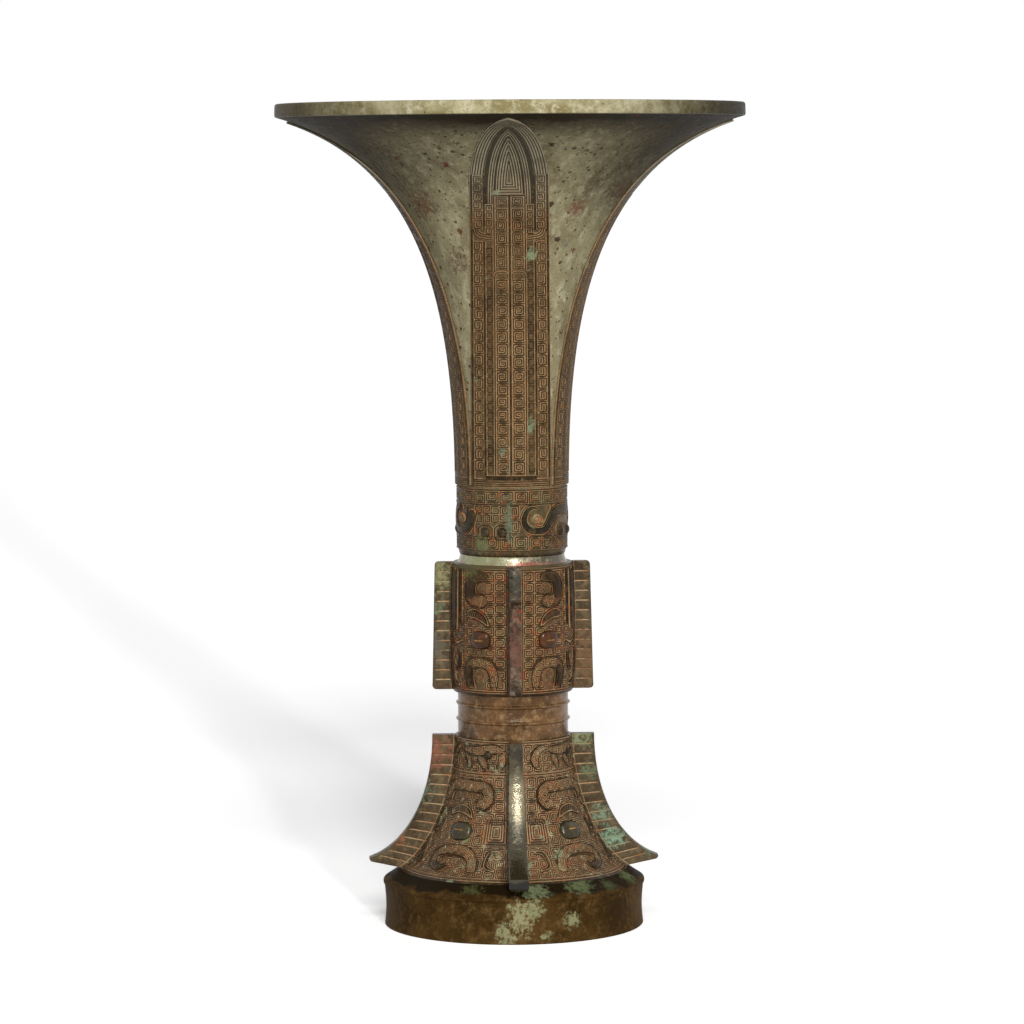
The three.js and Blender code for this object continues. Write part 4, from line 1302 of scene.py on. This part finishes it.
relief = started()
for turn in QUARTER_TURNS:
    volute(relief, turn, SHORT_TAIL if turn % 180 else LONG_TAIL)
    for azimuth in BOSS_AZIMUTHS:
        dome(relief, frieze, turn + azimuth, BOSS_LEVEL, BOSS_WIDTH, BOSS_WIDTH, BOSS_HEIGHT, 2.1)
fine, wide = frieze_lines()
lands(relief, frieze, fine)
lands(relief, frieze, wide, 0.62, 0.42)
hearts = [curl(frieze, turn + 24.5, 152.6, 1.7, 1.9, 1, 150, 1.35) for turn in QUARTER_TURNS]
lands(relief, frieze, hearts, 0.34, 0.26, base=0.5)
piece("frieze_relief", relief, frieze_finish)


# Masks: a part is a line of (azimuth from the mask's middle, share of the register's height) with its widths
# and hearts, and the eye is (azimuth, share, width, height)

DRUM_MASK = {
    "horn": ([(24.5, 0.9), (33, 0.917), (41, 0.893), (43.4, 0.81), (40.5, 0.747), (33, 0.731), (25.5, 0.742)],
             [2.4, 3.7, 4.2, 4.5, 4.8, 4.9, 4.3], "ssssff"),
    "brow": ([(24, 0.545), (29.5, 0.602), (37.5, 0.636), (46.5, 0.63)], [1.6, 3.4, 4.0, 3.4], "s"),
    "jaw": ([(19.5, 0.07), (19.5, 0.17), (24.5, 0.245), (35, 0.262), (43.5, 0.24), (45.4, 0.165), (43, 0.07)],
            [2.6, 3.4, 3.7, 3.8, 3.8, 3.7, 2.8], "ffffss"),
    "eye": (32.6, 0.433, 8.3, 6.8),
}
FOOT_MASK = {
    "horn": ([(33, 0.54), (27.5, 0.53), (23.8, 0.565), (24, 0.615), (28, 0.65), (38, 0.656), (61, 0.656),
              (69, 0.605), (69, 0.54)], [3.6, 4.2, 4.2, 4.2, 4.2, 4.2, 4.2, 4.0, 3.4], "f"),
    "brow": ([(36, 0.43), (41, 0.475), (50, 0.49), (59, 0.45)], [1.6, 3.4, 3.6, 2.6], "s"),
    "jaw": ([(26, 0.06), (28, 0.14), (34, 0.19), (46, 0.2), (55.5, 0.165), (55, 0.1), (48, 0.07), (44, 0.1)],
            [3.6, 3.9, 4.2, 4.2, 4.0, 3.4, 2.7, 1.8], "fffffss"),
    "eye": (43.7, 0.334, 9.8, 7.2),
}
RELIEF_HEIGHT = 1.15
EYE_HEIGHT = 2.1


def hatch(bm, wall, middle, side, points, widths):
    """Short notches that cross a brow."""
    for azimuth, level, width in through([(a, z, w) for (a, z), w in zip(points, widths)], 4)[1:-1]:
        rise = 0.26 * width
        lean = [(azimuth - 0.6, level - rise), (azimuth, level), (azimuth + 0.9, level + rise)]
        band(bm, wall, middle, side, lean, [0.4, 0.5, 0.4], RELIEF_HEIGHT + 0.2, foot=0.4, fill=0.8, steps=3)


def mask_pieces(where, wall, low, high, mask, finish, eye_metal):
    """Horn, brow, jaw and eye of each half mask, each in place of its CAD piece."""
    for middle, side in HALF_MASKS:
        place = f"{'back' if middle else 'front'}_{'left' if side < 0 else 'right'}"
        for part in ("horn", "brow", "jaw"):
            points, widths, hearts = mask[part]
            points = [(azimuth, low + share * (high - low)) for azimuth, share in points]
            bm = started()
            carved_band(bm, wall, middle, side, points, widths, RELIEF_HEIGHT, hearts)
            if part == "brow":
                hatch(bm, wall, middle, side, points, widths)
            cast(f"{where}_{part}_{place}", bm, finish)
        azimuth, share, width, height = mask["eye"]
        level, slit = low + share * (high - low), (0.2 * width, 0.28, 0.5)
        bm = started()
        dome(bm, wall, middle + side * azimuth, level, width, height, EYE_HEIGHT, 2.7, slit, 64, 28)
        cast(f"{where}_eye_{place}", bm, eye_metal)


mask_pieces("drum", drum, DRUM_LOW, GROOVE_LOW, DRUM_MASK, drum_finish, eye_finish)
mask_pieces("foot", bell, BELL_LOW, BELL_HIGH, FOOT_MASK, bell_finish, olive_eye_finish)


# Ground of the drum and the foot

SIDE_BARS = [
    ([(69.5, 134.2), (69.5, 126), (69.0, 117), (67.5, 110.4)], [4.2, 4.6, 4.6, 2.6]),
    ([(57.5, 134.0), (57.0, 124), (56.5, 113.5)], [1.3, 1.5, 1.2]),
    ([(54, 107.8), (63, 106.6), (73, 108.6)], [1.0, 1.5, 1.2]),
    ([(73.5, 104.6), (74.5, 98.5), (70.5, 92.4), (61, 91.0)], [2.4, 3.0, 2.6, 1.4]),
    ([(57.5, 103.6), (58.5, 98.6), (63.0, 96.4)], [1.6, 2.0, 1.2]),
]
TONGUES = [
    ([(22.5, 126.0), (29.5, 127.4), (36.6, 128.0)], [2.2, 4.1, 3.2]),
    ([(27, 113.4), (34, 114.0), (42, 115.0)], [1.4, 2.0, 1.6]),
    ([(29.6, 92.2), (31.0, 95.4), (37.6, 97.2)], [3.0, 4.2, 3.0]),
    ([(17.0, 97.6), (14.4, 93.2), (17.5, 90.6)], [1.4, 1.7, 1.2]),
]
DRUM_CURLS = [(30.5, 127.5, 1.7, 1.6), (34, 114.9, 1.05, 1.3), (34, 95.2, 1.8, 1.6), (66, 99.6, 1.9, 1.8)]
DRAGON = [
    ([(13, 67.2), (20, 67.8), (30, 67.4), (42, 66.8), (56, 67.4)], [2.2, 3.2, 3.6, 3.4, 2.2]),
    ([(13.5, 66.0), (12.6, 63.4), (15.0, 60.4)], [2.4, 2.9, 2.0]),
    ([(36, 64.6), (31, 62.4), (27.4, 60.2)], [2.6, 2.9, 1.8]),
    ([(52, 65.4), (47.5, 62.8), (46.5, 60.4)], [2.4, 2.7, 1.7]),
    ([(60, 68.2), (66, 67.4), (71.4, 64.2), (69, 60.8)], [1.8, 2.8, 3.0, 2.0]),
]
CLAWS = [
    ([(73, 44.6), (76.5, 41.6), (75.5, 37.8), (71.5, 36.6)], [1.8, 2.6, 2.8, 1.8]),
    ([(66.5, 41.2), (68.0, 37.8), (66.6, 34.4)], [1.6, 2.2, 1.6]),
    ([(79, 33.6), (76.5, 29.4), (72.5, 26.2), (67, 26.0)], [1.8, 3.2, 3.2, 1.8]),
    ([(10.8, 31.2), (17, 30.4), (18.6, 26.4), (13.0, 24.8)], [1.8, 2.3, 2.2, 1.6]),
]
BAR_HEIGHT = 0.85
TONGUE_HEIGHT = 0.42
CREATURE_HEIGHT = 0.8
DRAGON_EYE = (62.7, 65.6, 3.4, 3.2)
# Nested boxes beside the front and back flanges of the foot: half width and half height of the outer one
BOX_AZIMUTH, BOX_LEVEL = 14.9, 38.1
BOX_SIZE = (3.9, 4.7)
BOX_PITCH = 0.92
# Places without fret ground: low and high azimuth from a mask's middle, low and high level
DRUM_CLEAR = [(24, 44, 118, 134), (27, 38, 105, 111.5), (64, 75, 109, 135), (28, 42, 91, 101)]
FOOT_CLEAR = [(26, 68, 52.4, 55), (37, 50, 35, 40.6), (9, 20.4, 34.4, 42.6)]


def outside(patches):
    """Test for places outside all patches."""

    def keep(azimuth, level):
        half = abs((azimuth + 90) % 180 - 90)
        return not any(a0 < half < a1 and z0 < level < z1 for a0, a1, z0, z1 in patches)

    return keep


relief = started()
wide = [ring_line(drum, DRUM_LOW + 1.75), ring_line(drum, GROOVE_LOW - 1.5)]
curls = []
for middle, side in HALF_MASKS:
    for points, widths in SIDE_BARS:
        hearts = "s" if min(widths) > 1.1 else "n"
        carved_band(relief, drum, middle, side, points, widths, BAR_HEIGHT, hearts)
    for points, widths in TONGUES:
        band(relief, drum, middle, side, points, widths, TONGUE_HEIGHT, fill=0.35)
    curls += [curl(drum, middle + side * a, z, size, turns, side, 90) for a, z, size, turns in DRUM_CURLS]
ground_low, ground_high = DRUM_LOW + 2.2, GROOVE_LOW - 2.0
for quarter, side in itertools.product(range(4), (-1, 1)):
    x = (quarter * QUARTER + side * (FLANGE_THICKNESS / 2 + 0.55) / DRUM_RADIUS) * drum.gauge
    wide.append([(x, drum.flat(0, z)[1], 0.8) for z in np.linspace(ground_low, ground_high, 13)])
fine = fret_field(drum, ground_low, ground_high, 11, 4.3, FLANGE_THICKNESS / 2 + 0.9, outside(DRUM_CLEAR))
lands(relief, drum, fine)
lands(relief, drum, wide, 0.62, 0.38)
lands(relief, drum, curls, 0.34, 0.3, base=0.34)
piece("drum_relief", relief, drum_finish)

relief = started()
for turn in QUARTER_TURNS:
    for points, widths in DRAGON:
        points = [(90 - azimuth, level) for azimuth, level in points]
        carved_band(relief, bell, turn, 1, points, widths, CREATURE_HEIGHT, "f")
    dome(relief, bell, turn + DRAGON_EYE[0], *DRAGON_EYE[1:], 1.3, 2.2, sides=32, rings=14)
lands(relief, bell, fret_field(bell, 59.2, 69.6, 3, 3.6, FLANGE_THICKNESS / 2 + 0.8))
lands(relief, bell, [ring_line(bell, 58.4), ring_line(bell, 70.2)], 0.55, 0.36)
piece("dragon_relief", relief, bell_finish)

relief = started()
wide = [ring_line(bell, 22.0)]
for middle, side in HALF_MASKS:
    for points, widths in CLAWS:
        carved_band(relief, bell, middle, side, points, widths, CREATURE_HEIGHT)
    x, y = bell.flat(middle + side * BOX_AZIMUTH, BOX_LEVEL)
    for inset in BOX_PITCH * np.arange(4):
        wide.append(frame_line(x, y, *(np.array(BOX_SIZE) - inset) / bell.scale(y), 0.3))
fine = fret_field(bell, 22.6, 57.6, 9, 4.3, FLANGE_THICKNESS / 2 + 1.6, outside(FOOT_CLEAR))
lands(relief, bell, fine)
lands(relief, bell, wide, 0.55, 0.36)
piece("foot_relief", relief, bell_finish)


# Camera, floor and light

CAMERA_AZIMUTH = -2.0
CAMERA_DISTANCE = 1.555
CAMERA_HEIGHT = 0.280
CAMERA_PITCH = 4.638
CAMERA_ROLL = -0.3
LENS = 147.63
WORLD_FILL = 0.1
FLOOR_GAIN = 1.55
FLOOR_GLOW = 0.345
FLOOR_HALF = 40


def toward(azimuth, elevation):
    """Direction from the vessel at an azimuth and an elevation in degrees."""
    angle, rise = math.radians(azimuth), math.radians(elevation)
    return Vector((math.sin(angle) * math.cos(rise), -math.cos(angle) * math.cos(rise), math.sin(rise)))


camera = linked("camera", bpy.data.cameras.new("camera"))
camera.data.lens = LENS
camera.data.sensor_width = 36
camera.data.clip_start = 0.05
camera.data.clip_end = 50
camera.location = CAMERA_DISTANCE * toward(CAMERA_AZIMUTH, 0) + Vector((0, 0, CAMERA_HEIGHT))
aim = (-toward(CAMERA_AZIMUTH, CAMERA_PITCH)).to_track_quat("-Z", "Y")
camera.rotation_euler = (aim @ Quaternion((0, 0, 1), math.radians(CAMERA_ROLL))).to_euler()
bpy.context.scene.camera = camera


def distant(name, azimuth, elevation, spread, strength, mirrored=True):
    """Lamp so far off that it lights vessel and floor evenly: angles in degrees, spread is how wide it looks,
    mirrored whether it shows in the polish."""
    lamp = bpy.data.lights.new(name, "SUN")
    lamp.angle = math.radians(spread)
    lamp.energy = strength
    obj = linked(name, lamp)
    way = toward(azimuth, elevation)
    obj.visible_glossy = mirrored
    obj.location = way * 2
    obj.rotation_euler = (-way).to_track_quat("-Z", "Y").to_euler()


distant("low key", 10.8, 6.5, 2.4, 1.8, mirrored=False)
distant("front softbox", 3, 27, 13, 1.1)
distant("upper softbox", 3, 46, 20, 0.55)


def grey(value):
    return (value, value, value, 1)


def rays_that_show(tree):
    """1 for rays of the camera, of reflections and through glass, which see the white studio."""
    path = shader_node(tree, "ShaderNodeLightPath").outputs
    shown = path["Is Camera Ray"]
    for name in ("Is Glossy Ray", "Is Transmission Ray"):
        shown = shader_node(tree, "ShaderNodeMath", {0: shown, 1: path[name]}, operation="MAXIMUM").outputs[0]
    return shown


world = bpy.data.worlds.new("studio")
bpy.context.scene.world = world
world.use_nodes = True
sky = world.node_tree
shade = {0: rays_that_show(sky), 6: grey(WORLD_FILL), 7: grey(1)}
shade = shader_node(sky, "ShaderNodeMix", shade, data_type="RGBA")
feed(sky, sky.nodes["Background"], {"Color": shade.outputs[2]})

floor_mesh = bpy.data.meshes.new("studio_floor")
sheet = bmesh.new()
bmesh.ops.create_grid(sheet, x_segments=1, y_segments=1, size=FLOOR_HALF)
sheet.to_mesh(floor_mesh)
sheet.free()
floor = linked("studio_floor", floor_mesh)
paper = bpy.data.materials.new("white paper")
paper.use_nodes = True
tree = paper.node_tree
plain = tree.nodes["Principled BSDF"]
feed(tree, plain, {"Base Color": grey(0.5), "Roughness": 0.9})
bright = shader_node(tree, "ShaderNodeBsdfDiffuse", {"Color": grey(FLOOR_GAIN)})
glow = shader_node(tree, "ShaderNodeEmission", {"Color": grey(FLOOR_GLOW)})
both = shader_node(tree, "ShaderNodeAddShader", {0: bright.outputs[0], 1: glow.outputs[0]})
choice = {0: rays_that_show(tree), 1: plain.outputs["BSDF"], 2: both.outputs[0]}
choice = shader_node(tree, "ShaderNodeMixShader", choice)
feed(tree, tree.nodes["Material Output"], {"Surface": choice.outputs[0]})
floor_mesh.materials.append(paper)

bpy.context.scene.view_settings.view_transform = "Standard"
